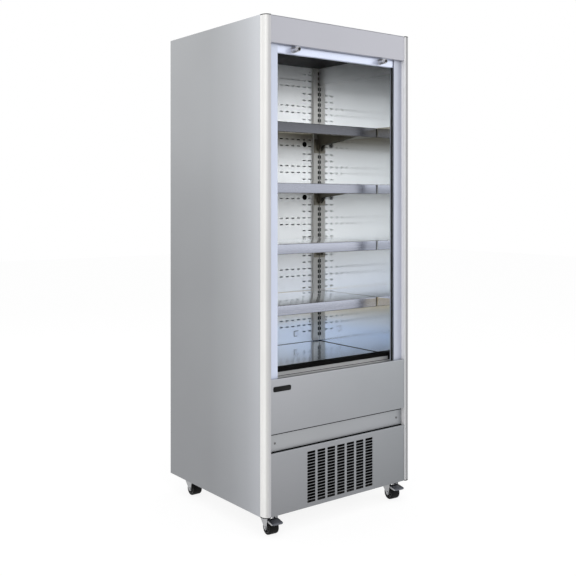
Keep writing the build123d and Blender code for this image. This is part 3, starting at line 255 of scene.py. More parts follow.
# painted light: the right post gets a brighter, non-metallic copy of the left post's finish, to light its
# inner wall
RIGHT_POST = look(
    "right_post_anodised", (0.98, 0.98, 0.99), (0.96, 0.96, 0.97), 0.34, 0, 0.9,
    **DRAWN, painted_light_slopes=RIGHT_POST_PAINTED_SHADE,
)
GUIDE = look(
    "anodised_guide", (0.665, 0.715, 0.86), (0.63, 0.68, 0.82), 0.38, 0.55, **DRAWN, painted_light_slopes=GUIDE_PAINTED_SHADE
)
RAIL = look("anodised_rail", (0.635, 0.68, 0.82), (0.6, 0.645, 0.785), 0.3, 0.7, **SATIN)
SLATS = look("slat_aluminium", 0.62, 0.56, 0.34, 0.85, **{**BRUSHED, "shade": 0.04})
LINER = look(
    "bright_liner", (0.94, 0.96, 0.975), (0.92, 0.94, 0.955), 0.12, 0.97,
    spread=0.02, patch=2, grain=LEVEL_GRAIN, shade=0.01,
    painted_light_slopes=LINER_PAINTED_REFLECTION, painted_shade_bands=SHELF_PAINTED_SHADE, haze=(1.6, 1.71, 0.28),
)
BACK = look(
    "back_panel_steel", (0.94, 0.955, 0.96), (0.92, 0.935, 0.94), 0.44, 0.92,
    patch=2, grain=X_GRAIN, shade=0.01, painted_light_slopes=BACK_PAINTED_REFLECTION, painted_shade_bands=SHELF_PAINTED_SHADE,
)
UPRIGHT = look(
    "upright_steel", (0.42, 0.415, 0.4), (0.37, 0.365, 0.35), 0.34, 0.8, **{**DRAWN, "shade": 0.04}
)
SHELF = look(
    "shelf_steel_polished", (0.88, 0.91, 0.95), (0.85, 0.88, 0.92), 0.12, 0.95,
    spread=0.02, patch=3, grain=X_GRAIN, shade=0.02,
)
# the lips' darker tone than the shelf tops is painted shade
SHELF_LIP = look(
    "shelf_lip_brushed", (0.39, 0.41, 0.48), (0.35, 0.37, 0.435), 0.26, 0.95,
    **{**SATIN, "shade": 0.04}, patch=3, painted_light_slopes=LIP_PAINTED_REFLECTION,
)
# painted shade: a dark brown finish for the shelves' undersides
SHADED_SHELF_UNDER = look(
    "shelf_underside_painted_shade", (0.13, 0.115, 0.085), (0.1, 0.09, 0.065), 0.42, 0.7, grain=X_GRAIN, shade=0.08
)
# painted shade: the brackets dark and warm, as in the shade under the shelves
SHADED_BRACKET = look("bracket_steel_painted_shade", (0.2, 0.185, 0.15), (0.15, 0.138, 0.11), 0.34, 0.7, grain=LEVEL_GRAIN)
GALVANISED = look("galvanised_steel", 0.48, 0.4, 0.4, 0.9, grain=70, shade=0.16, crystals=True)
BLACK_SHEET = look("black_sheet_paint", 0.006, 0.004, 0.6, 0, 0, grain=900, shade=0.1)
BLACK_PLASTIC = look("black_moulding", 0.006, 0.004, 0.5, 0, 0.02, grain=1600, shade=0.1)
PILE = look("pile_strip", 0.02, 0.01, 0.95, grain=(2600, 2600, 300), shade=0.4, relief=0.0003)
FOAM = look("insulation_foam", (0.7, 0.58, 0.34), (0.62, 0.5, 0.28), 0.9, grain=260, relief=0.0006)
WHITE_PLASTIC = look("white_moulding", 0.75, 0.7, 0.45, grain=900, relief=0.00003)
FINS = look("fin_aluminium", 0.66, 0.58, 0.4, 0.9, grain=UPRIGHT_GRAIN, shade=0.1)
# painted shade: the condenser fins near black, for the shade behind the grille's slots
DARK_FINS = look("condenser_fins_painted_shade", 0.008, 0.005, 0.6, 0, 0.05, grain=UPRIGHT_GRAIN)
COPPER = look("pipe_copper", (0.72, 0.34, 0.2), (0.56, 0.24, 0.13), 0.34, 0.95, grain=90, shade=0.15)
COMPRESSOR = look(
    "compressor_enamel", 0.02, 0.012, 0.32, grain=500, shade=0.1, relief=0.00008
)
CHROME = look(
    "lock_chrome_plate", (0.56, 0.56, 0.59), (0.47, 0.47, 0.5), 0.34, 0.6, spread=0.04, grain=600
)
KEYWAY = look("lock_face", 0.02, 0.012, 0.4, 0.6, grain=800)
ZINC = look(
    "castor_zinc_plate", (0.43, 0.435, 0.445), (0.35, 0.355, 0.365), 0.3, 0.9,
    patch=30, grain=300, shade=0.08, relief=0.00005,
)
RUBBER = look(
    "castor_tyre", 0.006, 0.004, 0.62, 0, 0.14, patch=40, grain=900, shade=0.2
)
HUB = look("castor_hub", 0.03, 0.02, 0.45, grain=1200, shade=0.1, relief=0.00004)
PEDAL = look(
    "pedal_paint", (0.115, 0.12, 0.14), (0.085, 0.09, 0.105), 0.36, 0.7,
    patch=40, grain=700, shade=0.12, relief=0.00006,
)
BADGE = look("badge_lacquer", 0.006, 0.004, 0.34, 0, 0.14, grain=700)
SCREW = look("panel_screw_steel", 0.16, 0.12, 0.36, 0.9, grain=600, shade=0.1)

CAD_LOOKS = {
    SIDE: ("left_side_panel", "right_side_panel", "roof_panel"),
    REAR: ("rear_panel",),
    FACE: ("fascia_panel",),
    STRIP: ("service_strip",),
    TROUGH: ("sill_trough",),
    HEADER: ("header_panel",),
    LEFT_POST: ("left_corner_post",),
    RIGHT_POST: ("right_corner_post",),
    BLACK_PLASTIC: ("post_end_caps",),
    GUIDE: ("guide_rails",),
    RAIL: ("shutter_rail",),
    SLATS: ("shutter_roll",),
    LINER: ("inner_liner", "deck_tray"),
    GALVANISED: ("base_frame", "condenser_fan_shroud", "evaporator_fan_plate", "shutter_brackets"),
    BLACK_SHEET: ("shutter_housing", "canopy_panel"),
    PILE: ("guide_seals",),
    FOAM: ("insulation_slabs",),
    WHITE_PLASTIC: ("drain_tray", "control_box"),
}
for finish, names in CAD_LOOKS.items():
    for name in names:
        for material_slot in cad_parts[name].material_slots:
            material_slot.material = finish


# ======== mesh tools
def unit(start, end):
    length = hypot(end[0] - start[0], end[1] - start[1])
    return ((end[0] - start[0]) / length, (end[1] - start[1]) / length)


def turned(vector, angle):
    return (vector[0] * cos(angle) - vector[1] * sin(angle), vector[0] * sin(angle) + vector[1] * cos(angle))


def moved(point, normal, offset):
    return (point[0] + normal[0] * offset, point[1] + normal[1] * offset)


def corner(before, point, after, radius, steps):
    """The round of a corner: each point of it, with the normal on the left of the line."""
    first, second = unit(before, point), unit(point, after)
    bend = atan2(first[0] * second[1] - first[1] * second[0], first[0] * second[0] + first[1] * second[1])
    side = radius if bend > 0 else -radius
    normal = (-first[1], first[0])
    centre = moved(moved(point, first, -radius * tan(abs(bend) / 2)), normal, side)
    normals = [turned(normal, bend * step / steps) for step in range(steps + 1)]
    return [(moved(centre, here, -side), here) for here in normals]


def rounded(outline, radius, steps=4):
    """A closed outline with its corners rounded."""
    made = []
    for k, point in enumerate(outline):
        following = outline[(k + 1) % len(outline)]
        made += [place for place, _ in corner(outline[k - 1], point, following, radius, steps)]
    return made


def rectangle(centre, size):
    signs = ((-1, -1), (1, -1), (1, 1), (-1, 1))
    return [(centre[0] + size[0] / 2 * a, centre[1] + size[1] / 2 * b) for a, b in signs]


def fold(path, radius, steps=4, stops=()):
    """A folded sheet's middle line as stations: length so far, point, normal. stops are extra lengths."""
    places = []
    for k, point in enumerate(path):
        if 0 < k < len(path) - 1:
            places += corner(path[k - 1], point, path[k + 1], radius, steps)
            continue
        heading = unit(path[0], path[1]) if k == 0 else unit(path[-2], path[-1])
        places.append((point, (-heading[1], heading[0])))
    stations = [(0, *places[0])]
    for point, normal in places[1:]:
        length = hypot(point[0] - stations[-1][1][0], point[1] - stations[-1][1][1])
        stations.append((stations[-1][0] + length, point, normal))
    for stop in stops:
        stations.append(between(stations, stop))
        stations.sort(key=lambda station: station[0])
    return stations


def between(stations, length):
    """The station at a length along the sheet."""
    for low, high in zip(stations, stations[1:]):
        if low[0] <= length <= high[0]:
            share = (length - low[0]) / (high[0] - low[0])
            point = tuple(low[1][k] + (high[1][k] - low[1][k]) * share for k in range(2))
            return (length, point, low[2])
    raise ValueError(length)


def cell_at(stations, length):
    """The number of the cell that begins at this length."""
    return next(k for k, station in enumerate(stations) if abs(station[0] - length) < 1e-6)


def cells(centre, pitch, count):
    """The edges of a row of cells, and the middles of the cells."""
    middles = [centre + (k - (count - 1) / 2) * pitch for k in range(count)]
    return [middles[0] - pitch / 2] + [middle + pitch / 2 for middle in middles], middles


def hole_ring(centre, size, radius, steps=2):
    """The outline of a rounded hole, in four quarters that match a cell's corners."""
    quarters = []
    for quarter, middle in enumerate(rectangle(centre, (size[0] - 2 * radius, size[1] - 2 * radius))):
        angles = [pi + (quarter + step / steps) * pi / 2 for step in range(steps + 1)]
        quarters.append([(middle[0] + radius * cos(a), middle[1] + radius * sin(a)) for a in angles])
    return quarters


def punched(rows, columns, size, radius, steps=2, first=1):
    """Holes in rows along a sheet's section, from its cell first, and in columns across it."""
    made = {}
    for i, row in enumerate(rows):
        for j, column in enumerate(columns):
            made[(first + i, j + 1)] = hole_ring((row, column), size, radius, steps)
    return made


def join(bm, first, second, closed=True):
    """Faces between two rings of as many points."""
    count = len(first)
    for k in range(count if closed else count - 1):
        following = (k + 1) % count
        bm.faces.new((first[k], first[following], second[following], second[k]))


def rim(bm, upper, lower):
    """Closes the edges between two grids of as many points."""
    for k in (0, -1):
        join(bm, upper[k], lower[k], closed=False)
        join(bm, [row[k] for row in upper], [row[k] for row in lower], closed=False)


def shell(bm, upper, lower):
    """A closed sheet of two grids."""
    for grid in (upper, lower):
        for low, high in zip(grid, grid[1:]):
            join(bm, low, high, closed=False)
    rim(bm, upper, lower)


def sheet(bm, stations, across, thickness, place, holes=None):
    """A folded sheet with holes. holes gives the quarters of the outline cut in a cell (station, across)."""
    holes = holes or {}
    offsets = (thickness / 2, -thickness / 2)

    def vertex(station, offset, along):
        return bm.verts.new(place(moved(station[1], station[2], offset), along))

    layers = []
    for offset in offsets:
        layers.append([[vertex(station, offset, along) for along in across] for station in stations])
    for i in range(len(stations) - 1):
        for j in range(len(across) - 1):
            rings = []
            for grid, offset in zip(layers, offsets):
                corners = [grid[i][j], grid[i + 1][j], grid[i + 1][j + 1], grid[i][j + 1]]
                if (i, j) not in holes:
                    bm.faces.new(corners)
                    continue
                quarters = []
                for points in holes[(i, j)]:
                    places = [(between(stations[i : i + 2], length), along) for length, along in points]
                    quarters.append([vertex(station, offset, along) for station, along in places])
                for k, quarter in enumerate(quarters):
                    following = (k + 1) % 4
                    for first, second in zip(quarter, quarter[1:]):
                        bm.faces.new((corners[k], first, second))
                    bm.faces.new((corners[k], quarter[-1], quarters[following][0], corners[following]))
                rings.append([item for quarter in quarters for item in quarter])
            if rings:
                join(bm, *rings)
    rim(bm, *layers)


def shaped_sheet(bm, stations, half, row):
    """A folded sheet whose width changes. row gives the points of a station, at its place on a face."""
    faces = []
    for offset in (half, -half):
        lines = [row(station, moved(station[1], station[2], offset)) for station in stations]
        faces.append([[bm.verts.new(point) for point in line] for line in lines])
    shell(bm, *faces)


def bevelled(bm, faces, bevel):
    edges = list({edge for face in faces for edge in face.edges})
    bmesh.ops.bevel(bm, geom=edges, offset=bevel, segments=2, profile=0.5, affect="EDGES")


def prism(bm, outline, place, low, high, bevel=0):
    """An outline drawn out between two places, with its two ends' edges bevelled."""
    ends = [[bm.verts.new(place(point, along)) for point in outline] for along in (low, high)]
    caps = [bm.faces.new(end) for end in ends]
    join(bm, *ends)
    if bevel:
        bevelled(bm, caps, bevel)


def slab(bm, x, depths, levels, bevel=0.6):
    """A box with all its edges bevelled."""
    points = [bm.verts.new(spot(a, b, c)) for c in levels for b in depths for a in x]
    sides = ((0, 1, 3, 2), (4, 5, 7, 6), (0, 1, 5, 4), (2, 3, 7, 6), (0, 2, 6, 4), (1, 3, 7, 5))
    faces = [bm.faces.new([points[k] for k in side]) for side in sides]
    if bevel:
        bevelled(bm, faces, bevel)


def axes_of(direction):
    """This direction, and two at right angles to it and to each other."""
    direction = Vector(direction).normalized()
    helper = Vector((0, 0, 1)) if abs(direction.z) < 0.9 else Vector((1, 0, 0))
    first = direction.cross(helper).normalized()
    return direction, first, first.cross(direction).normalized()


def lathe(bm, profile, origin, direction, steps=32, closed=False):
    """Turns (distance along the axis, radius) points about an axis."""
    axis, first, second = axes_of(direction)
    angles = [2 * pi * step / steps for step in range(steps)]
    rings = []
    for along, radius in profile:
        centre = Vector(origin) + axis * along
        spokes = [first * cos(angle) + second * sin(angle) for angle in (angles if radius else (0,))]
        rings.append([bm.verts.new(centre + spoke * radius) for spoke in spokes])
    pairs = list(zip(rings, rings[1:]))
    if closed:
        pairs.append((rings[-1], rings[0]))
    for low, high in pairs:
        for k in range(steps):
            following = (k + 1) % steps
            ends = [(ring[k % len(ring)], ring[following % len(ring)]) for ring in (low, high)]
            around = list(dict.fromkeys([*ends[0], *reversed(ends[1])]))
            if len(around) > 2:
                bm.faces.new(around)
    if not closed:
        for ring in (rings[0], rings[-1]):
            if len(ring) > 1:
                bm.faces.new(ring)


def dense(outline, parts=3):
    """A closed outline with each edge divided."""
    made = []
    for first, second in zip(outline, outline[1:] + outline[:1]):
        for part in range(parts):
            made.append(tuple(first[k] + (second[k] - first[k]) * part / parts for k in range(2)))
    return made


def recessed_head(bm, profile, outline, depth, origin, direction, turn=0):
    """A turned head whose flat end has a recess with this outline, which its centre sees all of."""
    axis, first, second = axes_of(direction)
    outline = [turned(point, turn) for point in dense(outline)]

    def ring(height, points):
        return [bm.verts.new(Vector(origin) + axis * height + first * a + second * b) for a, b in points]

    rings = []
    for height, radius in profile:
        circle = [(radius * a / hypot(a, b), radius * b / hypot(a, b)) for a, b in outline]
        rings.append(ring(height, circle))
    top = profile[-1][0]
    rings += [ring(top, outline), ring(top - depth, outline)]
    for low, high in zip(rings, rings[1:]):
        join(bm, low, high)
    bm.faces.new(rings[0])
    bm.faces.new(rings[-1])


def cross_outline(reach, half):
    """The outline of a cross recess."""
    quarter = [(reach, -half), (reach, half), (half, half)]
    return [turned(point, pi / 2 * k) for k in range(4) for point in quarter]


def smooth_line(points, steps=6):
    """Points of a smooth line through the given ones."""
    points = [Vector(point) for point in points]
    made = []
    for k in range(len(points) - 1):
        a, b, c, d = (points[min(max(k + shift, 0), len(points) - 1)] for shift in (-1, 0, 1, 2))
        for step in range(steps):
            t = step / steps
            cubic = (2 * a - 5 * b + 4 * c - d) * t**2 + (3 * b - a - 3 * c + d) * t**3
            made.append(0.5 * (2 * b + (c - a) * t + cubic))
    return made + [points[-1]]


def tube(bm, points, radius, sides=10):
    """A round tube along a line of points."""
    _, first, _ = axes_of(points[1] - points[0])
    angles = [2 * pi * side / sides for side in range(sides)]
    rings = []
    for k, point in enumerate(points):
        heading = (points[min(k + 1, len(points) - 1)] - points[max(k - 1, 0)]).normalized()
        first = (first - heading * first.dot(heading)).normalized()
        second = heading.cross(first)
        rings.append([bm.verts.new(point + (first * cos(a) + second * sin(a)) * radius) for a in angles])
    for low, high in zip(rings, rings[1:]):
        join(bm, low, high)
    bm.faces.new(rings[0])
    bm.faces.new(rings[-1])


def mirrored(bm):
    """Adds the mirror image on the other side of the cabinet."""
    made = bmesh.ops.duplicate(bm, geom=bm.verts[:] + bm.edges[:] + bm.faces[:])
    for item in made["geom"]:
        if isinstance(item, bmesh.types.BMVert):
            item.co.x = -item.co.x


def placed(name, data):
    """An object of the scene."""
    made = bpy.data.objects.new(name, data)
    bpy.context.scene.collection.objects.link(made)
    return made


def piece(name, bm, finish, nodes=(), body="cabinet", smooth=38, blended=None):
    """Makes a finished piece of a mesh drawn in millimetres. nodes are the CAD nodes that it replaces."""
    bmesh.ops.scale(bm, vec=(MM, MM, MM), verts=bm.verts)
    bmesh.ops.recalc_face_normals(bm, faces=bm.faces)
    mesh = bpy.data.meshes.new(name)
    bm.to_mesh(mesh)
    bm.free()
    mesh.materials.append(finish)
    mesh.polygons.foreach_set("use_smooth", [True] * len(mesh.polygons))
    mesh.set_sharp_from_angle(angle=radians(smooth))
    made = placed(name, mesh)
    if blended:
        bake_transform(made)
    else:
        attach(made, body)
    if nodes:
        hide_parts(*nodes)
    return made


def moulding(name, bm, nodes=(), body="cabinet"):
    piece(name, bm, BLACK_PLASTIC, nodes, body)


def refinish(made, finish, axis, sign):
    """Gives the faces that look along an axis a finish of their own."""
    made.data.materials.append(finish)
    for polygon in made.data.polygons:
        if polygon.normal[axis] * sign > 0.7:
            polygon.material_index = len(made.data.materials) - 1


def screws(name, places, profile, cross, depth, facing, finish, nodes=()):
    """Screws with a cross recess, each with its place and turn."""
    bm = bmesh.new()
    for place, turn in places:
        recessed_head(bm, profile, cross_outline(*cross), depth, place, facing, turn)
    piece(name, bm, finish, nodes)


FORWARDS = (0, -1, 0)
BACKWARDS = (0, 1, 0)
UPWARDS = (0, 0, 1)

# ======== lower front grille
VENT = (9.1, 36.8)
VENT_MIDDLE = 107
GRILLE_FOOT = 0.5
skin = SHEET / 2
row_edges, rows = cells(VENT_MIDDLE - GRILLE_FOOT, 10.8, 17)
column_edges, columns = cells(-4, 46.5, 7)
path = [(skin, GRILLE_FOOT), (skin, GRILLE_TOP - skin), (5, GRILLE_TOP - skin)]
across = [-PANEL_HALF, *column_edges, PANEL_HALF]
bm = bmesh.new()
sheet(bm, fold(path, 2, stops=row_edges), across, SHEET, side_view, punched(rows, columns, VENT, 2.6, 3))
piece("grille_front", bm, FACE, ["grille_panel"])

# thin black slabs in the strip's joints behind the grille's top and the fascia's foot: painted shade in
# these gaps
GAP_SHADE_HALF = 322
GAP_SHADE_DEPTHS = (15.05, 15.95)
bm = bmesh.new()
for levels in ((208, 219), (276, 283.6)):
    slab(bm, (-GAP_SHADE_HALF, GAP_SHADE_HALF), GAP_SHADE_DEPTHS, levels, 0.2)
moulding("strip_gap_shade", bm)

# ======== perforated back panel
SLOT = (16.5, 4.6)
SLOT_PITCH = 30.5
SLOT_COLUMNS = 17
# levels of the rows, a little over their slots' middles. The short rows are only beside the uprights.
SHORT_ROWS = (539, 620, 648, 726, 753, 835, 863, 943, 970, 1052, 1080, 1162, 1189, 1269)
SHORT_ROWS += (1297, 1389, 1416, 1444, 1526, 1554, 1636)
LONG_ROWS = (566, 592, 676, 778, 807, 890, 918, 997, 1024, 1107, 1135, 1217, 1244, 1329.5)
LONG_ROWS += (1357, 1471, 1499, 1582, 1609)
ROW_DROP = 6.5
BACK_BOTTOM, BACK_TOP = 470, 1664
PLUGS = ((216, 1331.5), (216, 1105.5))
edge = LINED - 1
back_middle = BACK_LINER + 0.5
path = [(-edge, back_middle + 12), (-edge, back_middle), (edge, back_middle), (edge, back_middle + 12)]
column_edges, columns = cells(0, SLOT_PITCH, SLOT_COLUMNS)
shift = fold(path, 1.5)[-1][0] / 2  # the panel's middle, as a length along the section
stations = fold(path, 1.5, stops=[column + shift for column in column_edges])
first_cell = cell_at(stations, column_edges[0] + shift)
rows = [(level - ROW_DROP, level in LONG_ROWS) for level in sorted(SHORT_ROWS + LONG_ROWS)]
halfway = [(low[0] + high[0]) / 2 for low, high in zip(rows, rows[1:])]
across = [BACK_BOTTOM, rows[0][0] - 13, *halfway, rows[-1][0] + 13, BACK_TOP]
holes = {}
for j, (level, is_long) in enumerate(rows):
    for i, column in enumerate(columns):
        by_upright = i < 2 or i > SLOT_COLUMNS - 3
        plugged = any(abs(column - x) < 16 and abs(level - z) < 13 for x, z in PLUGS)
        if (is_long or by_upright) and not plugged:
            holes[(first_cell + i, j + 1)] = hole_ring((column + shift, level), SLOT, 1.7)
bm = bmesh.new()
sheet(bm, stations, across, 1, plan_view, holes)
piece("back_panel", bm, BACK, ["perforated_back_panel"])

profile = ((0, 11.5), (0.8, 11.5), (1.9, 10.2), (2.4, 7), (2.5, 0))
bm = bmesh.new()
for x, level in PLUGS:
    lathe(bm, profile, spot(x, BACK_LINER, level), FORWARDS)
moulding("blind_plugs", bm, ["back_plugs"])

# the screws that hold the panel, and a small tab lanced out of it
places = [(spot(x, BACK_LINER, level), radians(x / 5)) for level in (573, 1640) for x in (244, -244)]
profile = ((0, 4.4), (0.5, 4.4), (1.5, 3.6), (1.9, 2.6))
screws("panel_screws", places, profile, (1.7, 0.35), 1, FORWARDS, ZINC)
bm = bmesh.new()
path = [(160.6, BACK_LINER - 0.4), (163, BACK_LINER - 3.2), (180, BACK_LINER - 0.6)]
sheet(bm, fold(path, 1.6), [519, 537], 0.8, plan_view)
piece("lanced_tab", bm, BACK)
# painted shadow: a thin black tube along the tab's cut
bm = bmesh.new()
cut = [(182, 539), (160, 539), (159, 538), (159, 518), (160, 517), (176, 517)]
tube(bm, [Vector(spot(x, BACK_LINER - 0.2, level)) for x, level in cut], 0.9, 6)
moulding("lanced_cut_shadow", bm)

# dark joints around the deck, and two thin dark strips on the riser behind the sill, painted shade for the
# trough's shadow lines
JOINT_LEVELS = (488.1, 489.3)
JOINT_BACK = 487.2
bm = bmesh.new()
slab(bm, (-287.4, 287.4), (JOINT_BACK - 1, JOINT_BACK), JOINT_LEVELS, 0.3)
for side in (-1, 1):
    slab(bm, sorted((side * 287.5, side * 289)), (92, JOINT_BACK), JOINT_LEVELS, 0.3)
# painted shade: two thin dark strips on the riser
for level in (463.4, 470.6):
    slab(bm, (-280.5, 280.5), (49, 49.9), (level - 0.8, level + 0.8), 0.2)
moulding("deck_joints_and_riser_shade", bm)

# the canopy's thin black lining
bm = bmesh.new()
slab(bm, (-288.5, 288.5), (168, JOINT_BACK), (CEILING - 7, CEILING - 0.3), 0.4)
moulding("canopy_lining", bm)

# ======== slotted uprights
UPRIGHT_FRONT = 478
UPRIGHT_SIDE, UPRIGHT_END = 257.6, 288.9
UPRIGHT_SPAN = (DECK_LEVEL + 4, CEILING - 4)
UPRIGHT_ROUND = 1.4
HOOK_X = 284.6
HOOK_DROP = 10  # from a shelf's top to its upper hooks
HOOK_STEP = 22.4
HOOK_SLOT = (7.2, 16)
HOOK_CELL = 3.8  # half the width of a slot's cell
flange = UPRIGHT_FRONT + SHEET / 2
foot = BACK_LINER - 0.1
path = [(UPRIGHT_SIDE, foot), (UPRIGHT_SIDE, flange), (UPRIGHT_END, flange)]
lost = (4 - pi) / 2 * UPRIGHT_ROUND  # the round fold is this much shorter than its corner
hook_at = foot - flange + HOOK_X - UPRIGHT_SIDE - lost
stations = fold(path, UPRIGHT_ROUND, stops=[hook_at - HOOK_CELL, hook_at + HOOK_CELL])
cell = cell_at(stations, hook_at - HOOK_CELL)
levels = [SHELF_LEVELS[0] - HOOK_DROP + HOOK_STEP * k for k in range(-8, 43)]
across = [level - HOOK_STEP / 2 for level in [*levels, levels[-1] + HOOK_STEP]]
holes = {(cell, j + 1): hole_ring((hook_at, level), HOOK_SLOT, 3) for j, level in enumerate(levels)}
bm = bmesh.new()
sheet(bm, stations, [UPRIGHT_SPAN[0], *across, UPRIGHT_SPAN[1]], SHEET, plan_view, holes)
mirrored(bm)
piece("slotted_uprights", bm, UPRIGHT, ["shelf_uprights"])
bm = bmesh.new()
slab(bm, (276, 289.3), (UPRIGHT_FRONT + 1.5, BACK_LINER - 0.2), UPRIGHT_SPAN, 0.4)
mirrored(bm)
moulding("corner_seals", bm)

# ======== shelves and their brackets
SHELF_FRONT, SHELF_BACK = 119, 476
SHELF_HALF = 287
LIP_HEIGHT = 37.5
front = SHELF_FRONT + skin
for number, top in enumerate(reversed(SHELF_LEVELS), start=1):
    bm = bmesh.new()
    foot = top - LIP_HEIGHT
    path = [(SHELF_FRONT + 12, foot + skin), (front, foot + skin)]
    path += [(front, top - skin), (SHELF_BACK, top - skin)]
    sheet(bm, fold(path, 2.6, 5), [-SHELF_HALF + 2.4, SHELF_HALF - 2.4], SHEET, side_view)
    # the ends are folded down, with an open corner at the front
    for side in (-1, 1):
        end = side * (SHELF_HALF - skin)
        path = [(side * (SHELF_HALF - 4.4), top - skin - 0.02), (end, top - skin - 0.02), (end, foot)]
        sheet(bm, fold(path, 1.5, 4), [SHELF_FRONT + 4.5, SHELF_BACK], SHEET, front_view)
    pan = piece(f"shelf_pan_{number}", bm, SHELF, [f"shelf_{number}"])
    # the front faces get a brushed finish whose darker tone is painted shade, and the downward faces a dark
    # painted shade
    refinish(pan, SHELF_LIP, 1, -1)
    refinish(pan, SHADED_SHELF_UNDER, 2, -1)

ARM = (279.5, 282)  # X of an arm's two faces
PLATE = (258.5, 288.6)
bm = bmesh.new()
for top in SHELF_LEVELS:
    under = top - SHEET - 0.1
    back = UPRIGHT_FRONT - 0.2
    front = SHELF_FRONT + 14
    corners = [(front, under), (back, under), (back, under - 74)]
    corners += [(UPRIGHT_FRONT - 9, under - 74), (UPRIGHT_FRONT - 26, under - 50), (front, under - 15)]
    outline = rounded(corners, 0.4, 1)[:8] + rounded(corners, 6, 3)[16:]  # the last two corners are rounder
    prism(bm, outline, side_view, *ARM, 0.4)
    # the wide plate of the bracket lies on the upright, with two pressed ridges
    plate = rounded(rectangle((sum(PLATE) / 2, top - 54), (PLATE[1] - PLATE[0], 60)), 5, 4)
    prism(bm, plate, front_view, UPRIGHT_FRONT - 2.4, back, 0.5)
    for x in (264, 271):
        ridge = rounded(rectangle((x, top - 56), (3, 46)), 1.4, 3)
        prism(bm, ridge, front_view, UPRIGHT_FRONT - 3.4, UPRIGHT_FRONT - 2.3, 0.7)
    for drop in (HOOK_DROP, HOOK_DROP + 2 * HOOK_STEP):
        slab(bm, ARM, (UPRIGHT_FRONT - 0.3, UPRIGHT_FRONT + 5.6), (top - drop - 4, top - drop + 4), 0.5)
mirrored(bm)
piece("shelf_arms", bm, SHADED_BRACKET, ["shelf_brackets"])

# ======== air return nose and air curtain grille
TRIM_TOP = 497
TRIM = 3  # its thickness
RISER = 50
face, top = RISER - TRIM / 2, TRIM_TOP - TRIM / 2
path = [(face, 485), (face, top), (87.5, top), (87.5, 482)]
flat_from = fold(path, 2.2)[5][0]
row_edges, rows = cells(flat_from + 17, 9.6, 3)
stations = fold(path, 2.2, stops=row_edges)
column_edges, columns = cells(0, 14, 40)
holes = punched(rows, columns, (5.6, 10.4), 2.4, first=cell_at(stations, row_edges[0]))
bm = bmesh.new()
sheet(bm, stations, [-LINED, *column_edges, LINED], TRIM, side_view, holes)
for side in (-1, 1):
    slab(bm, sorted((side * (LINED - 8), side * LINED)), (RISER - TRIM, RISER), (470, 485.2), 0.8)
moulding("air_return_nose", bm, ["air_return_trim"])

OUTLET = (118, 168)  # depths
row_edges, rows = cells(sum(OUTLET) / 2 - OUTLET[0], 9, 5)
column_edges, columns = cells(0, 9.6, 59)
stations = fold([(depth, CEILING - 8) for depth in OUTLET], 0, stops=row_edges)
holes = punched(rows, columns, (8.2, 8.8), 2.6, 1)
bm = bmesh.new()
sheet(bm, stations, [-LINED, *column_edges, LINED], 12, side_view, holes)
moulding("air_outlet_honeycomb", bm, ["air_curtain_grille"])

# ======== rear grille, with blades behind its slots
LOUVRE = (104, 8)
SCREW_X = 318
SCREW_CELL = 8  # half the width of a screw's cell
SCREW_ROWS = (2, 5, 8)
edge = 334.8 - skin
rear_middle = DEPTH - skin
path = [(-edge, 630), (-edge, rear_middle), (edge, rear_middle), (edge, 630)]
shift = fold(path, 1.6)[-1][0] / 2
column_edges, columns = cells(0, 125, 4)
stops = [side * SCREW_X + reach for side in (-1, 1) for reach in (-SCREW_CELL, SCREW_CELL)]
stations = fold(path, 1.6, stops=[stop + shift for stop in [*stops[:2], *column_edges, *stops[2:]]])
row_edges, rows = cells(115, 24, 7)
across = [3.125, 12, *row_edges, 212, 225]
holes = {}
for j, row in enumerate(rows):
    for left, column in zip(column_edges, columns):
        cell = (cell_at(stations, left + shift), j + 2)
        holes[cell] = hole_ring((column + shift, row), LOUVRE, 3.9, 3)
places = []
for j in SCREW_ROWS:
    for x in (-SCREW_X, SCREW_X):
        level = (across[j] + across[j + 1]) / 2
        cell = (cell_at(stations, x - SCREW_CELL + shift), j)
        holes[cell] = hole_ring((x + shift, level), (9, 9), 4.49, 4)
        places.append((spot(x, DEPTH - 2.6, level), x * j))
bm = bmesh.new()
sheet(bm, stations, across, SHEET, plan_view, holes)
for row in rows:
    for column in columns:
        blade = [(DEPTH - 1.4, row - 4.6), (DEPTH - 5, row - 2), (DEPTH - 8.5, row + 5.5)]
        sheet(bm, fold(blade, 3), [column - 50, column + 50], 0.9, side_view)
piece("rear_louvres", bm, REAR, ["rear_grille"])
profile = ((0, 4.1), (1.6, 4.1), (2.1, 3.2))
screws("rear_screws", places, profile, (1.8, 0.4), 1, BACKWARDS, ZINC)

# ======== badge and screws of the service strip
bm = bmesh.new()
prism(bm, rounded(rectangle((-274, 438), (76, 18)), 5, 6), front_view, 0, -1.6, 0.5)
piece("bare_badge", bm, BADGE, ["badge_plate"])

places = [(spot(x, 16, 247), x) for x in (-294, 294)]
profile = ((0, 4), (0.7, 4), (1.7, 3.1), (2.1, 2.2))
screws("cross_screws", places, profile, (1.6, 0.36), 1.2, FORWARDS, SCREW, ["strip_screws"])

# ======== locks
LOCK_X = 210
LOCK_LEVEL = 1621
profile = ((1.6, 6.05), (0.4, 6.2), (0, 6.6), (0, 6.8), (0.7, 7.5), (9, 7.5), (9, 9.2), (9.8, 10))
profile += ((34.2, 10), (34.4, 11.4), (35.9, 11.6), (35.9, 10), (43.5, 10), (43.5, 6.05))
bm = bmesh.new()
for side in (-1, 1):
    lathe(bm, profile, spot(side * LOCK_X, -16, LOCK_LEVEL), BACKWARDS, 40, closed=True)
piece("lock_bodies", bm, CHROME, ["lock_barrels"], "shutter")

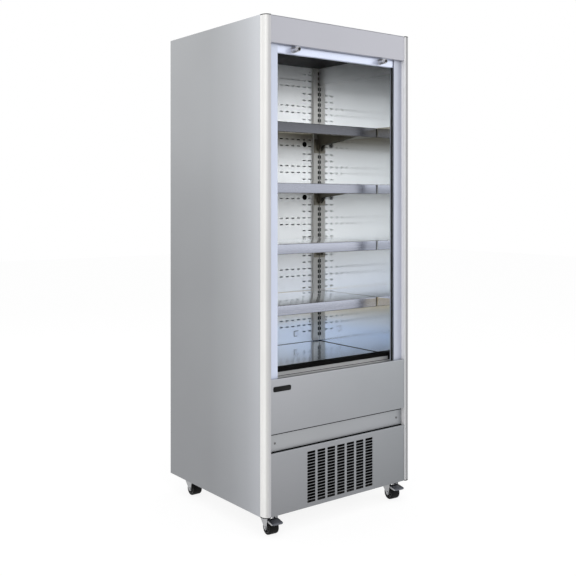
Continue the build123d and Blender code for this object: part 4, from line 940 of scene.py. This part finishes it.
for name, side in (("left", -1), ("right", 1)):
    bm = bmesh.new()
    key_slot = rounded(rectangle((0, 0), (1.5, 7.4)), 0.6, 2)
    profile = ((0, 5.9), (42.8, 5.9), (43.4, 5.4))
    recessed_head(bm, profile, key_slot, 5, spot(side * LOCK_X, 28, LOCK_LEVEL), FORWARDS)
    cam = [(-5, 5), (-5, -5), (21, -4), (25, -3), (25, 3), (21, 4)]
    cam = [(side * LOCK_X + x, LOCK_LEVEL + level) for x, level in cam]
    prism(bm, rounded(cam, 1.5, 3), front_view, 28, 30.5, 0.3)
    piece(f"key_plug_{name}", bm, KEYWAY, [f"lock_plug_{name}"], f"lock_{name}")

# ======== shutter curtain, drawn shut and stored at rest
TRAVEL = 1136
CURTAIN_TOP, CURTAIN_BOTTOM = 1681.5, 1646.3
GATHERED = CURTAIN_TOP - CURTAIN_BOTTOM  # height of the stored curtain
CURTAIN_HALF = 305
SLAT_PITCH = 17.6
SLAT_FACE = ((0, 27.6), (0.5, 26.7), (3, 26.05), (8, 25.8), (13, 26.05), (15.6, 26.7), (16, 27.6))


def stored(level):
    """The level at rest of a point of the shut curtain."""
    low, high = 0, 1
    for _ in range(48):
        share = (low + high) / 2
        reached = CURTAIN_TOP - GATHERED * share - TRAVEL * share * share * (3 - 2 * share)
        low, high = (share, high) if reached > level else (low, share)
    return CURTAIN_TOP - GATHERED * (low + high) / 2


bm = bmesh.new()
face, reverse = [], []
level = CURTAIN_BOTTOM - TRAVEL
while level < CURTAIN_TOP:
    for rise, depth in SLAT_FACE:
        if level + rise <= CURTAIN_TOP:
            face.append((depth, stored(level + rise)))
            reverse.append((min(depth + 1.3, 29.2), stored(level + rise)))
    level += SLAT_PITCH
prism(bm, face + reverse[::-1], side_view, -CURTAIN_HALF, CURTAIN_HALF)
ends = ((0, at_depth(27.5) * MM, at_level(z) * MM) for z in (CURTAIN_TOP, CURTAIN_BOTTOM))
blended = ("cabinet", "shutter", *ends)
piece("curtain_slats", bm, SLATS, ["shutter_curtain"], smooth=50, blended=blended)

# ======== refrigeration, seen through the grilles
PIPE_COLUMN = 24
PIPE_ROW = 22


def finned_coil(x, depths, levels, pitch):
    """Fins across a coil, and the hairpins of its pipes."""
    fins, pipes = bmesh.new(), bmesh.new()
    for side in (-1, 1):
        slab(fins, sorted((side * (x - 11), side * (x - 9.8))), depths, levels, 0.3)
    inner = [(low + 2, high - 2) for low, high in (depths, levels)]
    for k in range(int(2 * (x - 14) / pitch) + 1):
        middle = -x + 14 + k * pitch
        slab(fins, (middle - 0.15, middle + 0.15), *inner, 0)
    for row in range(int((levels[1] - levels[0] - 20) / PIPE_ROW)):
        for column in range(max(1, int((depths[1] - depths[0]) / PIPE_COLUMN))):
            depth = depths[0] + PIPE_COLUMN * (column + 0.5)
            level = levels[0] + 25 + PIPE_ROW * row
            side = 1 if (row + column) % 2 else -1
            angles = [pi * step / 8 for step in range(9)]
            bow = [(side * (x - 11 + 9 * sin(a)), level - PIPE_ROW / 2 * cos(a)) for a in angles]
            tube(pipes, [Vector(spot(out, depth, height)) for out, height in bow], 3.6, 8)
    return fins, pipes


fins, pipes = finned_coil(190, (24, 62), (12, 205), 3.6)
piece("condenser_fins", fins, DARK_FINS, ["condenser_coil"])
piece("condenser_pipes", pipes, COPPER)
fins, pipes = finned_coil(225, (300, 420), (289, 423), 5)
piece("evaporator_fins", fins, FINS, ["evaporator_coil"])
piece("evaporator_pipes", pipes, COPPER)

BLADES = 5


def propeller(kind, radius, level, front):
    """A fan with cambered blades on a round hub."""
    made = bmesh.new()
    hub = radius * 0.3
    profile = ((0, 0), (0.3, hub * 0.6), (2.2, hub * 0.94), (5, hub), (18, hub), (18, 0))
    lathe(made, profile, spot(0, front, level), BACKWARDS)
    root, tip = hub * 0.9, radius * 0.95
    spans, chords = 8, 6
    for blade in range(BLADES):
        layers = []
        for offset in (-0.8, 0.8):
            grid = []
            for share in (i / spans for i in range(spans + 1)):
                reach = root + (tip - root) * share
                chord = radius * (0.42 + 0.14 * share) * (1 - 0.35 * max(0, share - 0.75) / 0.25)
                pitch = radians(32 - 12 * share)
                row = []
                for t in (j / chords - 0.5 for j in range(chords + 1)):
                    angle = 2 * pi * blade / BLADES + t * chord * cos(pitch) / reach
                    lift = t * chord * sin(pitch) * 0.62 + radius * 0.05 * (1 - 4 * t * t)
                    place = spot(reach * sin(angle), front + 9 - lift + offset, level + reach * cos(angle))
                    row.append(made.verts.new(place))
                grid.append(row)
            layers.append(grid)
        shell(made, *layers)
    moulding(f"{kind}_propeller", made, [f"{kind}_fan"], f"{kind}_fan")


propeller("condenser", 90, 112, 66)
propeller("evaporator", 70, 367, 228)

SHELL_X, SHELL_DEPTH = -140, 400
bm = bmesh.new()
profile = ((0, 0), (1.5, 50), (8, 72), (22, 81), (66, 82), (67, 84), (71, 84), (72, 82))
profile += ((112, 80), (132, 68), (144, 42), (148, 14), (148, 0))
lathe(bm, profile, spot(SHELL_X, SHELL_DEPTH, 24), UPWARDS, 40)
plate = rounded(rectangle((SHELL_X, SHELL_DEPTH), (200, 130)), 14, 5)
prism(bm, plate, plan_view, 14.5, 17.5, 0.6)
profile = ((0, 11), (3, 12), (6, 9.5), (9, 12), (11.8, 11))
for x, depth in rectangle((SHELL_X, SHELL_DEPTH), (168, 98)):
    lathe(bm, profile, spot(x, depth, 2.5), UPWARDS, 20)
slab(bm, (-70, -36), (372, 428), (60, 118), 4)
piece("compressor_shell", bm, COMPRESSOR, ["compressor"])
GAS_RUN = ((-168, 322, 118), (-168, 306, 124), (-168, 296, 150), (-150, 250, 176), (-150, 120, 186))
GAS_RUN += ((-172, 70, 190),)
SUCTION_RUN = ((-140, 480, 100), (-140, 494, 108), (-120, 520, 160), (-60, 560, 196), (0, 566, 204))
bm = bmesh.new()
for run in (GAS_RUN, SUCTION_RUN):
    tube(bm, smooth_line([spot(*point) for point in run]), 4, 12)
piece("gas_pipes", bm, COPPER)

# ======== castors, drawn about their swivels' axes
SWIVEL_X = 294
FRONT_SWIVEL, REAR_SWIVEL = 58, 569
FRONT_TURN = -6
TRAIL = 22
WHEEL_RADIUS = 25
AXLE = (0, -TRAIL, WHEEL_RADIUS)
SIDEWAYS = (1, 0, 0)
FORK_INNER, FORK_OUTER = 20.2, 22.4
FORK_HALF = 1.1  # half the thickness of its sheet
FORK_ROUND = 4.5
CROWN_TOP = 65.9
LEG_END = 17
STOP_LEVEL = 57  # of the pin that the front forks have for the brake
CASTORS = (
    ("front_left", -SWIVEL_X, FRONT_SWIVEL, FRONT_TURN),
    ("front_right", SWIVEL_X, FRONT_SWIVEL, FRONT_TURN),
    ("rear_left", -SWIVEL_X, REAR_SWIVEL, 0),
    ("rear_right", SWIVEL_X, REAR_SWIVEL, 0),
)
# Y of a leg's two edges about the swivel, for each height
LEG_FRONT = ((17, -21), (17.4, -24.5), (19, -27.6), (22, -29.6))
LEG_FRONT += ((52, -33), (60, -33), (64.8, -31))
LEG_BACK = ((17, -21), (17.4, -18.5), (19, -16.2), (22, -14))
LEG_BACK += ((57, 18), (61, 21), (64.8, 22.5))
LEG_HEIGHTS = (17.4, 18, 19, 20.3, 22, 30, 40, 50, 54, 57)


def set_down(bm, x, depth, turn):
    """Moves a mesh drawn about its swivel's axis to its place under the cabinet."""
    place = Matrix.Translation((x, at_depth(depth), 0)) @ Matrix.Rotation(radians(turn), 4, "Z")
    bmesh.ops.transform(bm, matrix=place, verts=bm.verts)


def table_value(table, key):
    """The value of a table of (key, value) pairs between its entries."""
    for low, high in zip(table, table[1:]):
        if low[0] <= key <= high[0]:
            return low[1] + (high[1] - low[1]) * (key - low[0]) / (high[0] - low[0])
    return table[-1][1] if key > table[-1][0] else table[0][1]


def fork_sheet(bm):
    """The fork as one folded sheet: two legs and the crown, whose edges follow the legs' outline."""
    middle = (FORK_INNER + FORK_OUTER) / 2
    top = CROWN_TOP - FORK_HALF
    path = [(-middle, LEG_END), (-middle, top), (middle, top), (middle, LEG_END)]
    whole = fold(path, FORK_ROUND, 6)[-1][0]
    rises = [height - LEG_END for height in LEG_HEIGHTS]
    stops = [*rises, *[whole - rise for rise in rises], whole / 2 - 9, whole / 2 + 9]

    def row(station, place):
        x, level = station[1]
        ends = [table_value(table, level) for table in (LEG_FRONT, LEG_BACK)]
        if level > top - 0.1:  # the crown is rounder towards its middle
            bulge = 3 * (1 - (x / middle) ** 2)
            ends = [ends[0] - bulge * 0.2, ends[1] + bulge]
        return [(place[0], y, place[1]) for y in (ends[0], sum(ends) / 2, ends[1])]

    shaped_sheet(bm, fold(path, FORK_ROUND, 6, stops=stops), FORK_HALF, row)


def wheel_view(point, along):
    """Places a (Y, Z) point about the axle."""
    return (along, AXLE[1] + point[0], AXLE[2] + point[1])


for name, *stand in CASTORS:
    bm = bmesh.new()
    fork_sheet(bm)
    lathe(bm, ((-FORK_OUTER, 3.9), (FORK_OUTER, 3.9)), AXLE, SIDEWAYS, 24)
    washer = ((0, 0), (0, 6.6), (0.9, 6.6), (0.9, 0))
    nut = ((0.9, 0), (0.9, 5.2), (3.2, 5.2), (3.8, 4.6), (3.8, 0))
    for side in (-1, 1):
        for profile, steps in ((washer, 24), (nut, 6)):
            lathe(bm, [(FORK_OUTER + along, radius) for along, radius in profile], AXLE, (side, 0, 0), steps)
    if name.startswith("front"):
        reach = FORK_OUTER + 1
        lathe(bm, ((-reach, 2.15), (reach, 2.15)), (0, 4 - TRAIL, STOP_LEVEL), SIDEWAYS, 16)
    set_down(bm, *stand)
    piece(f"fork_{name}_shell", bm, ZINC, [f"castor_fork_{name}"], f"fork_{name}")

    bm = bmesh.new()
    profile = ((-17.4, 18.6), (-18.9, 20), (-19, 22), (-18.2, 23.8), (-16.4, 24.7), (-14, 25))
    profile += tuple((-x, r) for x, r in reversed(profile))
    lathe(bm, (*profile, (17.4, 18), (-17.4, 18)), AXLE, SIDEWAYS, 56, closed=True)
    set_down(bm, *stand)
    piece(f"tyre_{name}", bm, RUBBER, [f"castor_wheel_{name}"], f"wheel_{name}")

    bm = bmesh.new()
    half = ((-19, 4.05), (-19, 8), (-16, 9.4), (-12.5, 9.8))
    half += ((-12.5, 15.6), (-17.2, 16.6), (-17.6, 18.5))
    lathe(bm, half + tuple((-x, r) for x, r in reversed(half)), AXLE, SIDEWAYS, 40, closed=True)
    for side in (-1, 1):
        for spoke in range(6):
            outline = [turned(point, pi / 3 * spoke) for point in rectangle((12.6, 0), (7.2, 2.2))]
            prism(bm, outline, wheel_view, side * 12.2, side * 16.6)
    set_down(bm, *stand)
    piece(f"hub_{name}", bm, HUB, body=f"wheel_{name}")

bm = bmesh.new()
for _, swivel_x, swivel_depth, _ in CASTORS:
    part = bmesh.new()
    plate = rounded(rectangle((0, 0), (60, 60)), 6, 4)
    prism(part, plate, lambda point, along: (*point, along), 69.5, 71.9, 0.4)
    race = ((69.5, 0), (69.5, 18), (68.4, 18), (67.6, 17.6), (67.2, 17), (66.2, 16.2), (66.2, 0))
    lathe(part, race, (0, 0, 0), UPWARDS, 40)
    pin = ((66.3, 0), (66.3, 4.95), (63.4, 4.95), (63.4, 8), (62, 7.6), (61.2, 5), (61.1, 0))
    lathe(part, pin, (0, 0, 0), UPWARDS, 24)
    for x, y in rectangle((0, 0), (47, 47)):
        lathe(part, ((69.5, 0), (69.5, 4.4), (67, 4.4), (66.6, 3.8), (66.6, 0)), (x, y, 0), UPWARDS, 6)
    set_down(part, swivel_x, swivel_depth, 0)
    loose = bpy.data.meshes.new("part")
    part.to_mesh(loose)
    part.free()
    bm.from_mesh(loose)
    bpy.data.meshes.remove(loose)
piece("castor_tops", bm, ZINC, ["castor_plates"])

# ======== brake pedals
PIVOT = 4 - TRAIL  # Y of their pivot
TREAD_HALF = 21.4


def beside(point, along):
    """Places a (Y from the pivot, Z) point of an outline that runs along X."""
    return (along, PIVOT + point[0], point[1])


def tread_row(station, place):
    """The tread is rounded off towards both ends."""
    half = TREAD_HALF - max(0, 4 - whole + station[0]) ** 2 * 0.3 - max(0, 2 - station[0] * 2 / 3)
    return [(half * share, *place) for share in (-1, -0.5, 0.5, 1)]


path = [(PIVOT - 17.5, 54.5), (PIVOT - 49, 50), (PIVOT - 53, 46)]
whole = fold(path, 3, 5)[-1][0]
stations = fold(path, 3, 5, stops=[3, whole - 1, whole - 2.6])
lug = rounded([(-19, 53.6), (-2, 53), (4, 54), (4, 60.5), (-2, 60.9), (-19, 54.8)], 0.5, 1)
cheek = rounded([(-19.2, 53.4), (-48.6, 49.2), (-51.4, 46.4), (-44, 43.8), (-19.2, 47)], 0.8, 2)
for name, (_, *stand) in zip(("left", "right"), CASTORS):
    bm = bmesh.new()
    shaped_sheet(bm, stations, 1, tread_row)
    # raised ribs give the shoe a grip
    for k in range(4):
        _, point, normal = between(stations, 9 + 7 * k)
        place = moved(point, normal, 1 if normal[1] > 0 else -1)
        tube(bm, [Vector((x, *place)) for x in (-15, -5, 5, 15)], 1, 8)
    for low, high in ((-14, -10), (10, 14)):
        prism(bm, lug, beside, low, high, 0.3)
    set_down(bm, *stand)
    piece(f"pedal_{name}_tread", bm, PEDAL, [f"brake_pedal_{name}"], f"pedal_{name}")
    # bright cheeks stiffen the shoe along its edges
    bm = bmesh.new()
    for low, high in ((-21, -19.6), (19.6, 21)):
        prism(bm, cheek, beside, low, high, 0.2)
    set_down(bm, *stand)
    piece(f"pedal_{name}_cheeks", bm, ZINC, body=f"pedal_{name}")

# ======== floor, light and camera
FLOOR_HALF = 14
WHITE = rgba(1)


def seen_directly(tree):
    """1 where a ray from the camera or off a shiny surface arrives, and 0 for the light itself."""
    path = node_in(tree, "ShaderNodeLightPath")
    total = path.outputs["Is Camera Ray"]
    for other in ("Is Glossy Ray", "Is Transmission Ray"):
        total = maths(tree, "MAXIMUM", total, path.outputs[other])
    return total


def shown_by(tree, factor, first, second, end):
    """Shows the second shader instead of the first one, by this factor."""
    blend = node_in(tree, "ShaderNodeMixShader", {0: factor, 1: first.outputs[0], 2: second.outputs[0]})
    feed(tree, tree.nodes[end], {"Surface": blend.outputs[0]})


floor_mesh = bpy.data.meshes.new("studio_floor")
bm = bmesh.new()
bmesh.ops.create_grid(bm, x_segments=2, y_segments=2, size=FLOOR_HALF)
bm.to_mesh(floor_mesh)
bm.free()
studio_floor = placed("studio_floor", floor_mesh)
floor_look = bpy.data.materials.new("studio_floor_white")
floor_look.use_nodes = True
tree = floor_look.node_tree
coordinates = node_in(tree, "ShaderNodeTexCoord").outputs["Object"]
tone = mixed(tree, noise(tree, coordinates, 0.4), rgba(0.92), rgba(0.95))
matt = tree.nodes["Principled BSDF"]
feed(tree, matt, {"Base Color": tone, "Roughness": 0.9})
glow = node_in(tree, "ShaderNodeEmission", {"Color": WHITE, "Strength": 1.08})
shown_by(tree, maths(tree, "MULTIPLY", seen_directly(tree), 0.8), matt, glow, "Material Output")
floor_mesh.materials.append(floor_look)

world = bpy.data.worlds.new("studio")
bpy.context.scene.world = world
world.use_nodes = True
tree = world.node_tree
light = tree.nodes["Background"]
feed(tree, light, {"Color": WHITE, "Strength": 0.62})
backdrop = node_in(tree, "ShaderNodeBackground", {"Color": WHITE, "Strength": 1})
shown_by(tree, seen_directly(tree), light, backdrop, "World Output")

# name, place, size and power of each lamp, all aimed at the middle of the cabinet
LAMPS = (
    ("key", (-2.6, -3.4, 3), 3.4, 46),
    ("fill", (3.2, -3, 2.2), 3.4, 22),
    ("top", (0, -0.6, 4.4), 3, 26),
    ("back", (-1.5, 3.6, 2.8), 3, 18),
)
AIM = Vector((0, 0, 0.9))
for name, place, size, power in LAMPS:
    lamp = bpy.data.lights.new(name, "AREA")
    lamp.shape = "SQUARE"
    lamp.size = size
    lamp.energy = power
    holder = placed(name, lamp)
    holder.location = place
    holder.rotation_euler = (AIM - Vector(place)).to_track_quat("-Z", "Y").to_euler()

# the photo's camera, solved from the edges of the cabinet
CAMERA_PLACE = (-2.070, -2.6791, 1.1555)
CAMERA_TILT, CAMERA_HEADING = 89.91, -37.576
lens = bpy.data.cameras.new("camera")
lens.sensor_width = 36
lens.lens = 53.53
lens.shift_y = -0.1462
lens.clip_end = 60
camera = placed("camera", lens)
camera.location = CAMERA_PLACE
camera.rotation_euler = (radians(CAMERA_TILT), 0, radians(CAMERA_HEADING))
bpy.context.scene.camera = camera
bpy.context.scene.view_settings.view_transform = "Standard"
